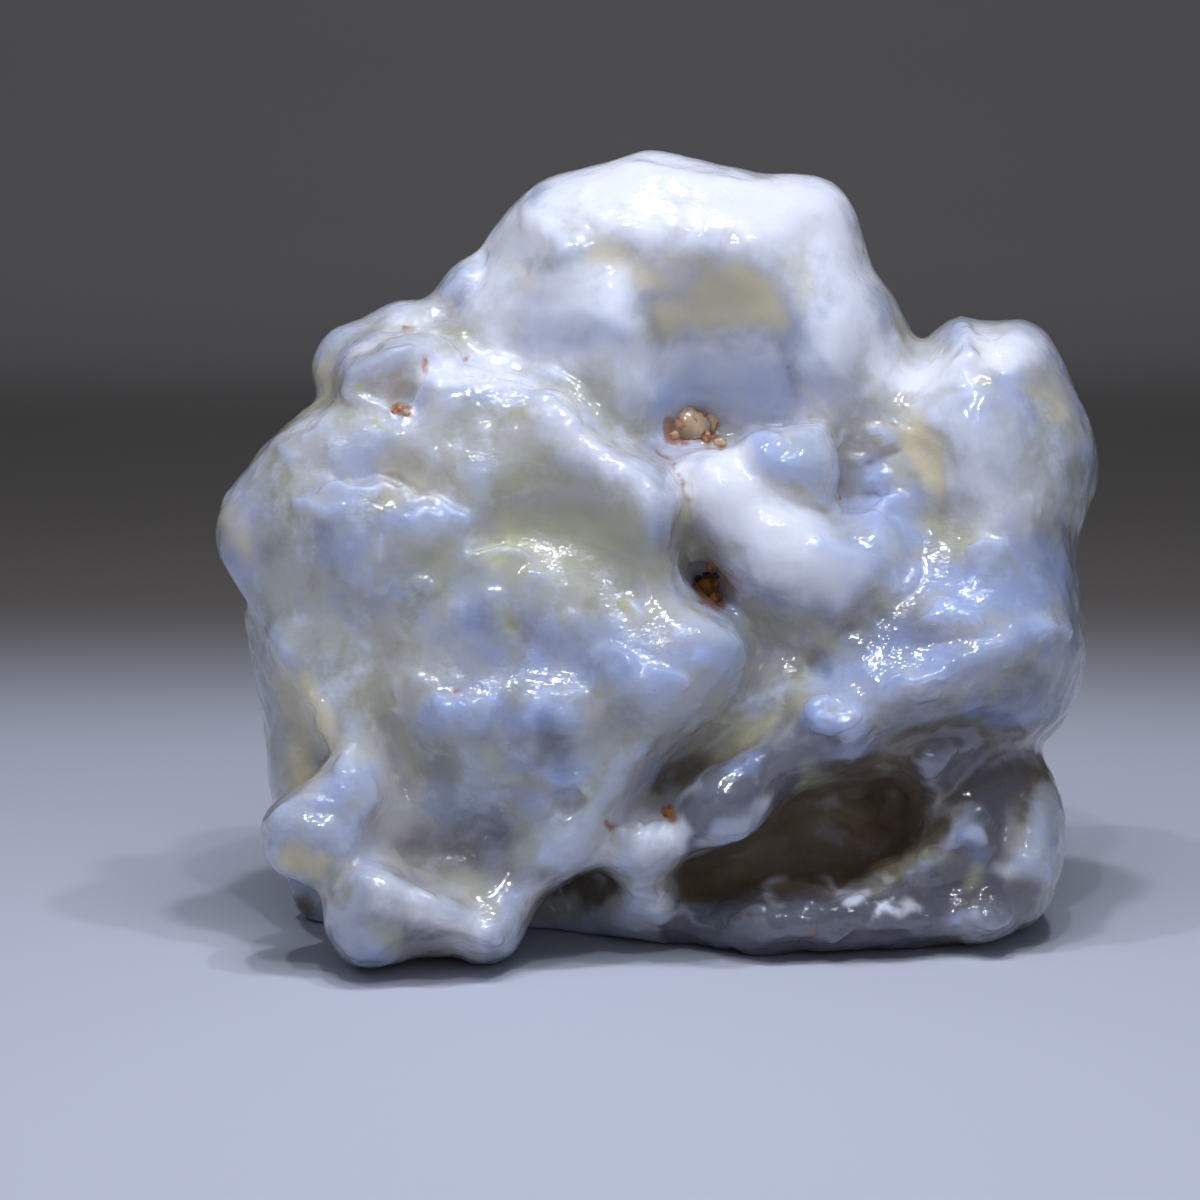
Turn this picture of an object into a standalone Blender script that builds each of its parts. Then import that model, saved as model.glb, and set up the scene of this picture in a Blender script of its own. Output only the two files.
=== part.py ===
"""A gobi agate: one wind-polished lump of milky chalcedony that stands on its own low feet.

The stone is modelled like clay. Slabs with rounded edges are laid one before another, small lumps
and ropes are added to them, and a remesh fuses all of it into one skin. Hollows are cut out, and
folds are then pressed in or drawn out along short paths. That work is done on an upright easel,
seen square from the front, and the finished stone is tipped back to the attitude in which it rests.
Easel measures are millimetres: across to the right, up from the front foot, and deep behind the
foremost point. The finished part is in metres, +Z up, front towards -Y, with its origin under the
middle of its outline at the level of the surface that it stands on.
"""

import math

import bmesh
import bpy
import numpy as np
from mathutils import Matrix, Vector, noise

MM = 0.001
EASEL_TILT = math.radians(10)
# The eye before the easel: how far off, the point that it looks at and the depth of that point.
EYE_DISTANCE = 300
EYE_LINE = (-4.2, 28.8)
EYE_FOCUS = 12
# The skin: edge length of its grain, and how many rounds of smoothing each step gets.
SLAB_GRAIN = 0.6
SKIN_GRAIN = 0.5
MELT_ROUNDS = 9
FINISH_ROUNDS = 4
# What smoothing takes off the stone all round, given back to it.
SWELL = 0.25
MOST_TRIANGLES = 8400
# The stone is cut level here, measured from the easel's zero after it is tipped back.
FOOT_LEVEL = -0.8
BALL_DETAIL = 4
CHALCEDONY = (0.52, 0.56, 0.65, 1)
POLISH_ROUGHNESS = 0.24

# The upper body: the dome, the tower on the right and the flank that hangs over the base.
UPPER_OUTLINE = (
    (0, 63.5), (3.5, 62.4), (6.5, 61.8), (9.3, 61.3), (11.2, 61.7), (13.8, 60.9), (15.2, 59.1),
    (15.9, 56.9), (16.3, 54.4), (17.9, 52.8), (19.2, 50.4), (19.9, 48.4), (21, 47.4), (21.2, 48.4),
    (22, 49.9), (23.5, 50.7), (25.4, 49.9), (27.4, 50.5), (29.3, 50.2), (30.8, 48.4), (32, 45.4),
    (33.5, 41.9), (34.2, 39.6), (34, 37.9), (32.9, 35.5), (32.1, 33.1), (32.4, 30.8), (33, 28.1),
    (33.2, 25), (32.5, 21.9), (31.2, 19), (28.6, 17.6), (26, 17), (23.6, 15.5), (22, 13),
    (20.5, 12.7), (19, 14.5), (17.5, 15.4), (15.5, 15), (12, 14.4), (10, 13.4), (8.5, 11.7),
    (6.5, 10.3), (3.5, 9), (0, 8), (-6, 8), (-20, 9), (-28, 10), (-29.5, 14.2), (-29.8, 18.1),
    (-30.2, 21.9), (-30.8, 25), (-31.7, 28.1), (-29, 36), (-23, 44), (-17.3, 52), (-15.4, 54.7),
    (-13, 55.5), (-12.7, 56.9), (-10.8, 59.2), (-8.5, 61.2), (-4.2, 62.2),
)
# Points (across, up, deep) that the front of the upper body passes through.
UPPER_FRONT = (
    (0, 61, 10.5), (-7, 59, 11), (8, 59, 10.5), (13, 57, 11.5), (0, 56.5, 9), (-8, 54, 10.5),
    (6, 55, 9.5), (1, 53, 10.5), (3.5, 51.5, 11.3), (8.5, 51.5, 10.8), (14, 51, 10), (12.5, 46, 9.5),
    (17, 48, 12), (16, 43, 12), (3, 47.5, 12.5), (6.5, 44, 14), (3, 42, 14.5), (10, 43.5, 13.5),
    (-3, 49, 10), (-4, 45, 10), (-0.5, 44, 11), (-9, 49, 11.5), (-11.5, 54, 12.5), (-9, 45, 12.5),
    (24, 48, 12), (28, 48, 12), (26, 44, 9.5), (22, 44, 10.5), (18.8, 45.5, 14), (31, 43, 12),
    (26, 39, 8.5), (22, 39.5, 10), (19, 37.5, 12.5), (32, 38.5, 12), (27, 33, 8.5), (31, 33, 10.5),
    (22, 33, 10.5), (17, 40, 13.5), (14, 41, 13.5), (3, 37, 12), (5, 31, 11.5), (31.5, 28, 9.5),
    (28, 27.5, 7.5), (23, 26, 6.5), (19.5, 24, 6), (14, 26, 8.5), (17, 30, 10), (27, 23.5, 7),
    (22, 21, 6), (17, 20.5, 5.5), (30, 20.5, 9.5), (24, 18.5, 8.5), (20, 17, 7.5), (23.5, 16.5, 7.5),
    (13.8, 20, 5), (6, 14, 5), (2, 11, 6.5), (11, 17, 6), (2, 18, 12), (4, 21, 11.5), (0, 15, 11),
    (10, 24.5, 10), (-28, 26, 11), (-28, 16, 11), (-10, 20, 13), (-20, 30, 13),
)
UPPER_BACK = (
    (0, 58, 24), (-9, 54, 26), (11, 56, 25), (0, 48, 31), (-14, 46, 30), (14, 47, 30), (26, 45, 26),
    (30, 36, 28), (22, 36, 32), (0, 36, 35), (-16, 36, 34), (-26, 34, 29), (28, 26, 30),
    (14, 24, 35), (-4, 22, 35), (-20, 22, 33), (-27, 20, 27), (0, 12, 33), (20, 18, 33),
)
# The left curtain, which stands before the upper body and reaches down to the two left feet.
CURTAIN_OUTLINE = (
    (-25.4, 44.1), (-23.5, 44.6), (-21, 43.6), (-19, 43), (-18, 44.5), (-17, 46.3), (-15.5, 47.2),
    (-13.5, 46.5), (-11, 46.3), (-9, 45.6), (-6.5, 44.6), (-4.5, 42.3), (-2, 40.6), (0.5, 39.8),
    (2, 37.9), (2.2, 35), (1.8, 31.5), (2.3, 29.8), (4.5, 28.5), (6.5, 27), (7.8, 25.1), (7, 22.6),
    (4.8, 19.6), (1, 16.2), (-1.8, 13), (-3.8, 10.3), (-4, 8.6), (-8.5, 6.2), (-10.1, 3.6),
    (-10.7, 1.6), (-12.8, 0.8), (-16, 1.8), (-19.6, 1), (-23, 3), (-23, 8), (-25, 12),
    (-23.5, 15.4), (-25.8, 18.5), (-28, 21.9), (-29.8, 25.8), (-31.2, 28.8), (-32.8, 31),
    (-33.8, 33.1), (-33.5, 35.6), (-31.9, 38.5), (-29.6, 41.2), (-27.3, 42.7),
)
CURTAIN_FRONT = (
    (-17, 45, 7), (-15.5, 46, 7.5), (-12, 45, 6), (-7, 43.4, 5.2), (-4.5, 41, 4.6), (-1, 39, 4),
    (0.8, 37, 3.8), (0, 34, 4), (0.5, 31.5, 6), (-31.5, 35, 9.5), (-30, 39, 10.5), (-27, 40, 8.5),
    (-24, 42.5, 8.5), (-22, 41, 7.5), (-28, 35, 8), (-24, 37.5, 6.5), (-19, 39, 6), (-15, 41, 6),
    (-11, 41, 6), (-8, 39, 5.5), (-5, 37.5, 4.8), (-14, 37.5, 5), (-10, 33, 7), (-6, 32.5, 7),
    (-12.5, 33.5, 6.2), (-2.5, 31.5, 6.8), (-26, 37.3, 7.4), (-20, 36.8, 7.2), (-16, 36, 6.8),
    (-25, 34.5, 5.8), (-21, 34, 4.8), (-17, 34.5, 5), (-21, 29.5, 5.8), (-18.5, 30, 6.5),
    (-24, 29, 6.5), (-29, 29, 8.5), (-13, 29.5, 4.8), (-8, 29.5, 4.8), (-4, 28, 5.5),
    (-28.3, 25, 7.5), (-25.5, 19.5, 6), (-23, 16, 5), (-22, 23, 7), (-20.5, 19, 7.8),
    (-19.6, 15.4, 8.5), (-16.5, 21, 4), (-13, 21, 4), (-15, 18, 4), (0, 23, 3.8), (-2, 21, 4.2),
    (-7, 21.5, 4.2), (-7, 26, 6.2), (-6.7, 13, 5.8), (-11, 25, 5.5), (5, 26, 5), (3, 25, 4.2),
    (1, 19, 5), (-2, 15.5, 5), (-5, 11.5, 5), (-16.5, 11, 8), (-12.7, 12, 8), (-17, 8.5, 7.5),
    (-9, 8, 5.5), (-11, 4, 4), (-14, 15, 5.5),
)
CURTAIN_BACK = ((-30, 35, 18), (-16, 35, 22), (0, 33, 20), (-25, 20, 18), (-10, 15, 20), (-16, 4, 16))
# The base, which carries the flank and reaches behind the left feet.
BASE_OUTLINE = (
    (28.7, 18.5), (30, 15.4), (31.2, 13.5), (31.6, 10), (30.8, 6.5), (29.3, 3.5), (26.5, 2.7),
    (20.4, 2), (15, 1.3), (8.1, 1), (3.5, 1.9), (-1.2, 3), (-8, 3), (-20, 2.5), (-26.9, 3.1),
    (-28.5, 5.4), (-28.5, 12), (-20, 18), (0, 22), (20, 22),
)
BASE_FRONT = (
    (28, 16.5, 13.5), (25.5, 17.5, 13.5), (24.5, 13.5, 12.5), (29.8, 13, 13), (29, 8, 11.5),
    (26.5, 10.3, 12.4), (24.5, 11, 11), (23, 8.5, 12.2), (20.5, 9, 11.5), (21, 6.5, 11.5),
    (28.5, 5.5, 12.5), (25.5, 4, 10.5), (22.5, 3.6, 11), (20, 2.8, 10.5), (17, 3.5, 10),
    (14, 2.5, 10), (10, 2.5, 9.8), (6, 3, 10.5), (2, 3.8, 12.5), (10, 5.2, 9.8), (14, 5.8, 10),
    (17.5, 6.4, 10.6), (7, 4.8, 10.4), (4, 6, 14), (5, 8, 18), (-1.5, 6.2, 9.5), (-1.5, 3.6, 12),
    (10, 8.8, 24), (14, 9.3, 24.5), (17.5, 10, 20), (12, 12, 27), (17, 13, 23), (8, 11, 26),
    (-4, 6, 15), (-8, 7, 20), (-14, 8, 20), (-20, 8, 21), (-26.5, 5.5, 21), (-26, 9, 21),
    (-20, 14, 22), (10, 16, 26), (20, 15, 17), (0, 11, 22),
)
BASE_BACK = (
    (26, 12, 30), (20, 5, 34), (0, 6, 35), (-20, 7, 33), (0, 16, 35), (24, 18, 31), (-26, 10, 29),
)
# Name, outline, front points, back points, rounding of the edge, share of the thickness that lies
# before the edge, and how much the slab climbs for each millimetre that it runs back.
SLABS = (
    ("upper", UPPER_OUTLINE, UPPER_FRONT, UPPER_BACK, 4, 0.5, 0),
    ("curtain", CURTAIN_OUTLINE, CURTAIN_FRONT, CURTAIN_BACK, 2.6, 0.5, 0),
    ("base", BASE_OUTLINE, BASE_FRONT, BASE_BACK, 3, 0.2, 0.2),
)
# Name, middle (across, up, deep), half sizes (across, up, deep), lean in degrees to the left.
LUMPS = (
    ("ear_upper", (-19.2, 48.2, 18), (3.4, 3.6, 5), 0),
    ("ear_lower", (-22.9, 46.5, 18), (3.5, 3.6, 5), 0),
    ("bowl_floor", (-20, 45.8, 13.5), (4.4, 3.8, 5), 0),
    ("side_foot", (-26.2, 10.6, 7.5), (4.3, 3.6, 4.5), 0),
    ("side_foot_heel", (-23.8, 13.6, 8), (3.2, 2.9, 4), 0),
    ("front_foot", (-21.8, 4.8, 7.5), (3.7, 4.3, 6.5), 0),
    ("front_foot_arch", (-17.6, 4.4, 8.5), (4, 2.8, 6), 0),
    ("lobe_upper_left", (8.8, 38.8, 11), (3, 3.2, 4), 0),
    ("lobe_upper_right", (11.6, 38.9, 11), (2.6, 3.4, 4), 0),
    ("lobe_lower_top", (5.5, 36.4, 11.5), (5, 3.6, 5), 35),
    ("lobe_lower", (11, 31.8, 11.5), (7.6, 4.8, 6), 30),
    ("lobe_lower_right", (16.5, 31.6, 12), (3.6, 4, 5), 20),
    ("white_lobe", (-1, 9.8, 11), (3.4, 2.4, 4.6), -12),
    ("pale_bulge", (5.2, 13.2, 9.5), (4, 3.2, 5), -25),
    ("hollow_back_left", (8, 9.5, 22), (6, 5, 6.5), -20),
    ("hollow_back_right", (14, 11.5, 22.5), (6.5, 6, 6.5), -10),
    ("back_crown", (-2, 51, 24), (9, 8, 9), 0),
    ("back_left_shoulder", (-16, 38, 27), (10, 8, 9), 20),
    ("back_middle", (2, 37, 29.5), (10, 8, 9), 0),
    ("back_right_shoulder", (20, 37, 25.5), (9, 10, 9), 0),
    ("back_left_hip", (-20, 23, 27), (9, 9, 8.5), 0),
    ("back_right_hip", (20, 22, 28.5), (11, 8, 9), -15),
    ("back_low", (-2, 20, 29.5), (10, 8, 8.5), 10),
)
# Strokes of a thumb or a tool on the front, drawn as runs of (across, up). Width is half the
# breadth of the mark, and the last number how far it draws the clay out (or, below zero, presses it).
FRONT_STROKES = (
    ("dome_left_ridge", ((-10.3, 59.3), (-8.6, 57.4), (-6.6, 55.4)), 2.4, 1.1),
    ("dome_lip", ((-3, 57.9), (0.4, 57), (3.6, 57.2), (6.8, 56.1), (9.6, 56.7)), 3, 0.4),
    ("dome_window_left", ((-1.5, 55.2), (1, 55)), 2.6, -0.25),
    ("dome_window", ((2.6, 51.6), (7.4, 51.2)), 4, -0.4),
    ("dome_right_crease", ((11.8, 56), (11.4, 51), (10.2, 46.8), (10.6, 44)), 3, -0.8),
    ("dome_pillar", ((-3.4, 51), (-2.8, 47.5), (-2, 44.2)), 2.8, 1.3),
    ("dome_dimple", ((-10.4, 54.4), (-9.8, 53.8)), 2.4, -0.4),
    ("dome_left_crease", ((-12.9, 56), (-13.6, 53), (-15.8, 50.6)), 1.7, -1),
    ("dome_hollow", ((-11, 48.6), (-10.4, 47.6)), 2.4, -1.1),
    ("dome_valley", ((1.4, 46), (5, 46.6), (8.6, 46.4)), 3, -0.7),
    ("crystal_pit", ((2.2, 42.8), (4.6, 42.6)), 2.2, -0.9),
    ("ear_crease", ((-25.2, 47.6), (-20.6, 48.9), (-17, 50.4)), 1.5, -1.3),
    ("saddle_ridge", ((-23.6, 46.6), (-20.4, 47.6), (-17.8, 49), (-16, 48.4), (-15.4, 47.4)), 1.8, 1.7),
    ("bowl", ((-20.8, 45), (-18.6, 44.6)), 2.4, -0.8),
    ("bowl_rim", ((-24.2, 45.2), (-22.2, 43.9), (-19.4, 42.5), (-17.6, 43.7), (-16.6, 46)), 1.8, 1),
    ("rim_groove", ((-14.4, 46), (-10.4, 45.7), (-7.6, 45.2)), 1.3, -0.7),
    ("rim_beads", ((-14, 47), (-11.6, 46.9), (-9.4, 46.2)), 1.3, 0.6),
    ("curtain_shoulder", ((-7.4, 44.4), (-4.4, 41.6), (-1, 38.8), (0.2, 36.4)), 2.4, 0.9),
    ("plateau_hollow", ((-19.6, 39), (-19, 38.4)), 2.2, -0.7),
    ("ledge_left", ((-28.2, 37), (-25.2, 35.6)), 1.8, 0.7),
    ("ledge", ((-24.6, 36.4), (-21, 36.4), (-17.6, 35), (-15, 34.8)), 1.9, 1),
    ("olive_hollow", ((-10, 34.4), (-6, 34.8), (-4, 34.6)), 3.6, -0.6),
    ("under_olive_ledge", ((-13.6, 31.4), (-10.4, 31.6)), 2, 0.6),
    ("pale_patch", ((-15.2, 28.4), (-14.6, 28)), 2.7, 0.6),
    ("patch_left", ((-18.8, 29.2), (-17.4, 28.8)), 1.8, 0.6),
    ("left_vein_hollow", ((-22.8, 29.2), (-21.6, 26.6), (-20.4, 23.8)), 1.9, -0.7),
    ("small_bump", ((-7.4, 26.6), (-6, 26)), 1.9, 0.8),
    ("speck_hollow", ((-16.4, 23), (-14, 22.6), (-11.4, 23)), 2.2, -0.6),
    ("middle_hollow", ((-8.4, 24), (-6.6, 23.4)), 2.2, -0.7),
    ("bulge_low_left", ((-17.6, 19.4), (-13.4, 19.6)), 2.4, 1),
    ("bulge_low_middle", ((-8.4, 20.2), (-6.6, 19.8)), 2, 0.9),
    ("bulge_low_right", ((-3, 22.8), (0.6, 21.8)), 2.7, 1.2),
    ("bulge_crease_left", ((-20.9, 20.4), (-20.4, 17.6), (-19.2, 15)), 1.5, -1),
    ("bulge_crease_middle", ((-11.4, 20.4), (-10.6, 17), (-11.6, 14.8)), 1.6, -0.8),
    ("bulge_crease_right", ((-5, 23.4), (-4.6, 19.6), (-4.8, 16)), 1.5, -0.9),
    ("round_dimple", ((-6.8, 13.2), (-6.6, 13)), 1.8, -1.2),
    ("left_ridge", ((-29.6, 26), (-27.6, 21.4), (-25, 17), (-23.4, 15.8)), 1.6, 0.8),
    ("side_foot_rim", ((-29.4, 12.6), (-26.4, 14.2), (-23.2, 15.4), (-22, 13), (-24, 9.6)), 1.4, 0.7),
    ("side_foot_pit", ((-28, 9.8), (-27, 9.2)), 1.6, -0.8),
    ("leg_hollow", ((-18.6, 9.6), (-15.4, 9), (-12.6, 11)), 2.5, -1.4),
    ("toe_ridge", ((-22.4, 7.4), (-18.6, 6.4), (-15.4, 4.6), (-12.4, 2.8)), 1.7, 1.3),
    ("under_toe", ((-19, 1.6), (-16.4, 1.6), (-14.6, 1.2)), 1.9, -2),
    ("fold", ((1.6, 39.2), (2.5, 36.4), (2, 33.4), (2.7, 30.6)), 1.4, -1.7),
    ("fold_pit", ((3.6, 30.6), (4.6, 29.4)), 1.8, -2.4),
    ("fold_low", ((8.4, 25.2), (7.4, 22.2), (4.8, 19.8), (1.6, 17.8), (-1.2, 14.8)), 1.4, -1.6),
    ("knuckle", ((3.4, 26.4), (5.8, 25.6)), 2.4, 0.9),
    ("lobe_seam", ((6.4, 39.4), (9.8, 37), (12.6, 35.4), (14.6, 36)), 1.2, -1),
    ("lobe_edge", ((13.9, 41.4), (14.2, 38.4), (14.8, 36.8)), 1.2, -1),
    ("step_one", ((15.4, 41), (17.8, 41.4)), 1.3, 0.8),
    ("step_two", ((15.6, 38.6), (18.6, 39)), 1.3, 0.8),
    ("step_three", ((16, 35.6), (19.2, 36.4)), 1.4, 0.9),
    ("olive_dip", ((19.6, 40.4), (21.4, 39.6)), 2.2, -1),
    ("tower_notch_ridge", ((23.6, 49.6), (24.6, 47.8), (23, 46.4)), 1.5, 1),
    ("tower_notch_hollow", ((25.9, 49.4), (25.8, 47)), 1.3, -1),
    ("tower_bulge", ((24, 42.4), (26, 40)), 3, 0.8),
    ("tower_right_hollow", ((30, 45.4), (29.6, 43.4)), 1.8, -0.7),
    ("tower_dip", ((22.4, 35.8), (24, 35)), 2.4, -1),
    ("pillow", ((24.4, 32), (26.2, 32.2)), 1.7, 0.9),
    ("ridge_high", ((20.6, 26.9), (22.6, 27.7), (24.8, 27)), 1.6, 1.2),
    ("ridge_high_right", ((28.6, 26.4), (31.6, 27)), 1.6, 0.8),
    ("valley_between", ((18, 24.8), (21.4, 25.6), (25, 26)), 1.4, -0.5),
    ("ridge_low", ((17.8, 21.6), (21, 22.9), (24, 24.2), (27.6, 25.4)), 1.6, 1.1),
    ("ridge_low_left", ((12.4, 20), (15.4, 19.8)), 2, 1.3),
    ("ridge_gap", ((16.4, 21.6), (16.9, 18.6)), 1.3, -0.8),
    ("brown_hollow", ((11.6, 24.2), (13.8, 23.2)), 2, -1.7),
    ("flank_fold", ((17.4, 17.6), (21.4, 18.6), (26.4, 19)), 1.9, -1.7),
    ("hanging_bump", ((20.6, 15.8), (23.4, 16.8)), 1.7, 1),
    ("cleft", ((0.4, 12.8), (2.6, 15.6), (6.4, 18.2), (9.6, 19.8)), 1.7, -2),
    ("column_bump_left", ((24.2, 11.6), (25, 10.8)), 2.1, 1),
    ("column_bump_top", ((29, 13), (29.6, 12)), 2.1, 0.8),
    ("column_bump_right", ((28.6, 8.6), (29, 8)), 2.6, 1),
    ("column_bump_foot", ((25.2, 4.4), (26, 3.8)), 1.8, 1),
    ("column_crease", ((26.9, 13), (26.4, 10), (25.2, 7.4), (21.8, 6.6)), 1.6, -0.7),
    ("green_bead", ((20.9, 8.7), (21, 8.6)), 1.4, 1),
    ("lip_bump_left", ((8.4, 4.6), (9.2, 4)), 2, 0.7),
    ("lip_bump_right", ((18, 4.6), (19.6, 4)), 1.8, 0.8),
    ("lip_crease", ((12.4, 5.6), (12.9, 2)), 1.4, -0.8),
)
# The creases that part the back into rounded lumps.
KNOB_SIZE = 13
CREASE_DEPTH = 1.6
CREASE_SHARE = 0.4
CREASES_BEGIN = 20


def smooth_sheet(points):
    """A function of (across, up) that gives the depth of the smoothest sheet through the points."""
    known = np.array(points, float)
    gap = np.linalg.norm(known[:, None, :2] - known[None, :, :2], axis=2)
    flat = np.column_stack((np.ones(len(known)), known[:, :2]))
    system = np.zeros((len(known) + 3, len(known) + 3))
    system[: len(known), : len(known)] = bending(gap)
    system[: len(known), len(known):] = flat
    system[len(known):, : len(known)] = flat.T
    weights = np.linalg.solve(system, np.concatenate((known[:, 2], np.zeros(3))))

    def depth(places):
        gap = np.linalg.norm(places[:, None] - known[None, :, :2], axis=2)
        plane = np.column_stack((np.ones(len(places)), places))
        return bending(gap) @ weights[: len(known)] + plane @ weights[len(known):]

    return depth


def bending(gap):
    """The thin plate's answer to a push at that distance."""
    return gap**2 * np.log(np.maximum(gap, 1e-9))


def distance_to_path(places, path, closed):
    """How far each place is from a chain of straight runs."""
    nearest = np.full(len(places), np.inf)
    ends = list(zip(path, path[1:] + path[:1] if closed else path[1:]))
    for start, end in ends:
        start, end = np.array(start, float), np.array(end, float)
        run = end - start
        share = np.clip((places - start) @ run / (run @ run), 0, 1)
        off = places - start - share[:, None] * run
        nearest = np.minimum(nearest, np.linalg.norm(off, axis=1))
    return nearest


def add_object(name, mesh):
    obj = bpy.data.objects.new(name, mesh)
    bpy.context.scene.collection.objects.link(obj)
    return obj


def applied(obj):
    """Replaces the mesh of an object by what its modifiers make of it."""
    graph = bpy.context.evaluated_depsgraph_get()
    mesh = bpy.data.meshes.new_from_object(obj.evaluated_get(graph))
    obj.modifiers.clear()
    obj.data = mesh
    return obj


def remesh(obj, grain):
    skin = obj.modifiers.new("skin", "REMESH")
    skin.mode = "VOXEL"
    skin.voxel_size = grain
    return applied(obj)


def soften(obj, rounds):
    melt = obj.modifiers.new("melt", "SMOOTH")
    melt.factor = 0.5
    melt.iterations = rounds
    return applied(obj)


def points_of(mesh):
    points = np.empty(len(mesh.vertices) * 3, np.float32)
    mesh.vertices.foreach_get("co", points)
    return points.reshape(-1, 3).astype(float)


def put_points(mesh, points):
    mesh.vertices.foreach_set("co", points.astype(np.float32).ravel())
    mesh.update()


def slab(name, outline, front, back, rounding, front_share, climb):
    """A closed slab of that outline, whose two faces run through the front and the back points."""
    thick = 20
    shape = bmesh.new()
    rim = [shape.verts.new((across, 0, up)) for across, up in outline]
    face = shape.faces.new(rim)
    made = bmesh.ops.extrude_face_region(shape, geom=[face])["geom"]
    moved = [v for v in made if isinstance(v, bmesh.types.BMVert)]
    bmesh.ops.translate(shape, verts=moved, vec=(0, thick, 0))
    bmesh.ops.recalc_face_normals(shape, faces=shape.faces)
    mesh = bpy.data.meshes.new(name)
    shape.to_mesh(mesh)
    shape.free()
    obj = remesh(add_object(name, mesh), SLAB_GRAIN)
    points = points_of(obj.data)
    places = points[:, [0, 2]]
    inset = distance_to_path(places, outline, closed=True)
    swell = np.sqrt(1 - (1 - np.clip(inset / rounding, 0, 1)) ** 2)
    near, far = smooth_sheet(front)(places), smooth_sheet(back)(places)
    edge = near + front_share * (far - near)
    side = np.clip(points[:, 1] / thick, 0, 1) * 2 - 1
    points[:, 1] = edge + swell * np.where(side < 0, side * (edge - near), side * (far - edge))
    points[:, 2] += climb * np.maximum(points[:, 1] - edge, 0)
    put_points(obj.data, points)
    return obj


def ball(shape, middle, half_sizes, lean):
    across, up, deep = middle
    wide, high, thick = half_sizes
    place = Matrix.Translation((across, deep, up)) @ Matrix.Rotation(math.radians(lean), 4, "Y")
    form = place @ Matrix.Diagonal((wide, thick, high, 1))
    bmesh.ops.create_icosphere(shape, subdivisions=BALL_DETAIL, radius=1, matrix=form)


def clay(name, parts, lumps):
    """One object that holds the slabs and the lumps, still one inside another."""
    shape = bmesh.new()
    for obj in parts:
        shape.from_mesh(obj.data)
        bpy.data.objects.remove(obj)
    for _, middle, half_sizes, lean in lumps:
        ball(shape, middle, half_sizes, lean)
    mesh = bpy.data.meshes.new(name)
    shape.to_mesh(mesh)
    shape.free()
    return add_object(name, mesh)


def normals_of(mesh):
    normals = np.empty(len(mesh.vertices) * 3, np.float32)
    mesh.vertex_normals.foreach_get("vector", normals)
    return normals.reshape(-1, 3).astype(float)


def stroke(mesh, path, width, draw):
    """Draws the clay along the path towards the viewer, or away, where it faces the viewer."""
    points = points_of(mesh)
    near = np.clip(1 - (distance_to_path(points[:, [0, 2]], path, closed=False) / width) ** 2, 0, 1)
    facing = np.clip(-2 * normals_of(mesh)[:, 1], 0, 1)
    points[:, 1] -= draw * near**2 * facing
    put_points(mesh, points)


def crease_back(mesh):
    """Parts the back into rounded lumps: a crease runs wherever two knob centres are equally near."""
    points, normals = points_of(mesh), normals_of(mesh)
    behind = np.clip((points[:, 1] - CREASES_BEGIN) / 5, 0, 1)
    for i in np.flatnonzero(behind):
        distances, _ = noise.voronoi(Vector(points[i] / KNOB_SIZE))
        off_crease = min((distances[1] - distances[0]) / CREASE_SHARE, 1)
        points[i] -= normals[i] * behind[i] * CREASE_DEPTH * (1 - off_crease) ** 2
    put_points(mesh, points)


def as_seen(mesh):
    """Spreads what lies deep, so that an eye at the easel's distance sees it at its easel measures."""
    points = points_of(mesh)
    spread = (1 + (points[:, 1] - EYE_FOCUS) / EYE_DISTANCE)[:, None]
    points[:, [0, 2]] = EYE_LINE + (points[:, [0, 2]] - EYE_LINE) * spread
    put_points(mesh, points)


def cut_foot(mesh):
    """Cuts the lowest points off level, so that the stone stands on small flat faces."""
    shape = bmesh.new()
    shape.from_mesh(mesh)
    everything = shape.verts[:] + shape.edges[:] + shape.faces[:]
    cut = bmesh.ops.bisect_plane(
        shape, geom=everything, plane_co=(0, 0, FOOT_LEVEL), plane_no=(0, 0, -1), clear_outer=True
    )
    rim = [part for part in cut["geom_cut"] if isinstance(part, bmesh.types.BMEdge)]
    bmesh.ops.holes_fill(shape, edges=rim)
    bmesh.ops.triangulate(shape, faces=shape.faces)
    shape.to_mesh(mesh)
    shape.free()


def chalcedony():
    """Milky white with a cold cast, polished by wind-blown sand."""
    stuff = bpy.data.materials.new("milky_chalcedony")
    stuff.use_nodes = True
    shader = stuff.node_tree.nodes["Principled BSDF"]
    shader.inputs["Base Color"].default_value = CHALCEDONY
    shader.inputs["Roughness"].default_value = POLISH_ROUGHNESS
    shader.inputs["Metallic"].default_value = 0
    return stuff


for old in list(bpy.data.objects):
    bpy.data.objects.remove(old)

stone = clay("agate", [slab(*row) for row in SLABS], LUMPS)
remesh(stone, SKIN_GRAIN)
soften(stone, MELT_ROUNDS)
put_points(stone.data, points_of(stone.data) + SWELL * normals_of(stone.data))
for _, path, width, draw in FRONT_STROKES:
    stroke(stone.data, path, width, draw)
crease_back(stone.data)
remesh(stone, SKIN_GRAIN)
soften(stone, FINISH_ROUNDS)
as_seen(stone.data)

thin = stone.modifiers.new("thin", "DECIMATE")
thin.ratio = MOST_TRIANGLES / (2 * len(stone.data.polygons))
applied(stone)
stone.data.transform(Matrix.Rotation(-EASEL_TILT, 4, "X"))
cut_foot(stone.data)

least, most = points_of(stone.data).min(axis=0), points_of(stone.data).max(axis=0)
stand = Vector((-(least[0] + most[0]) / 2, -(least[1] + most[1]) / 2, -least[2]))
stone.data.transform(Matrix.Scale(MM, 4) @ Matrix.Translation(stand))
stone.data.shade_smooth()
stone.data.materials.append(chalcedony())
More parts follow.
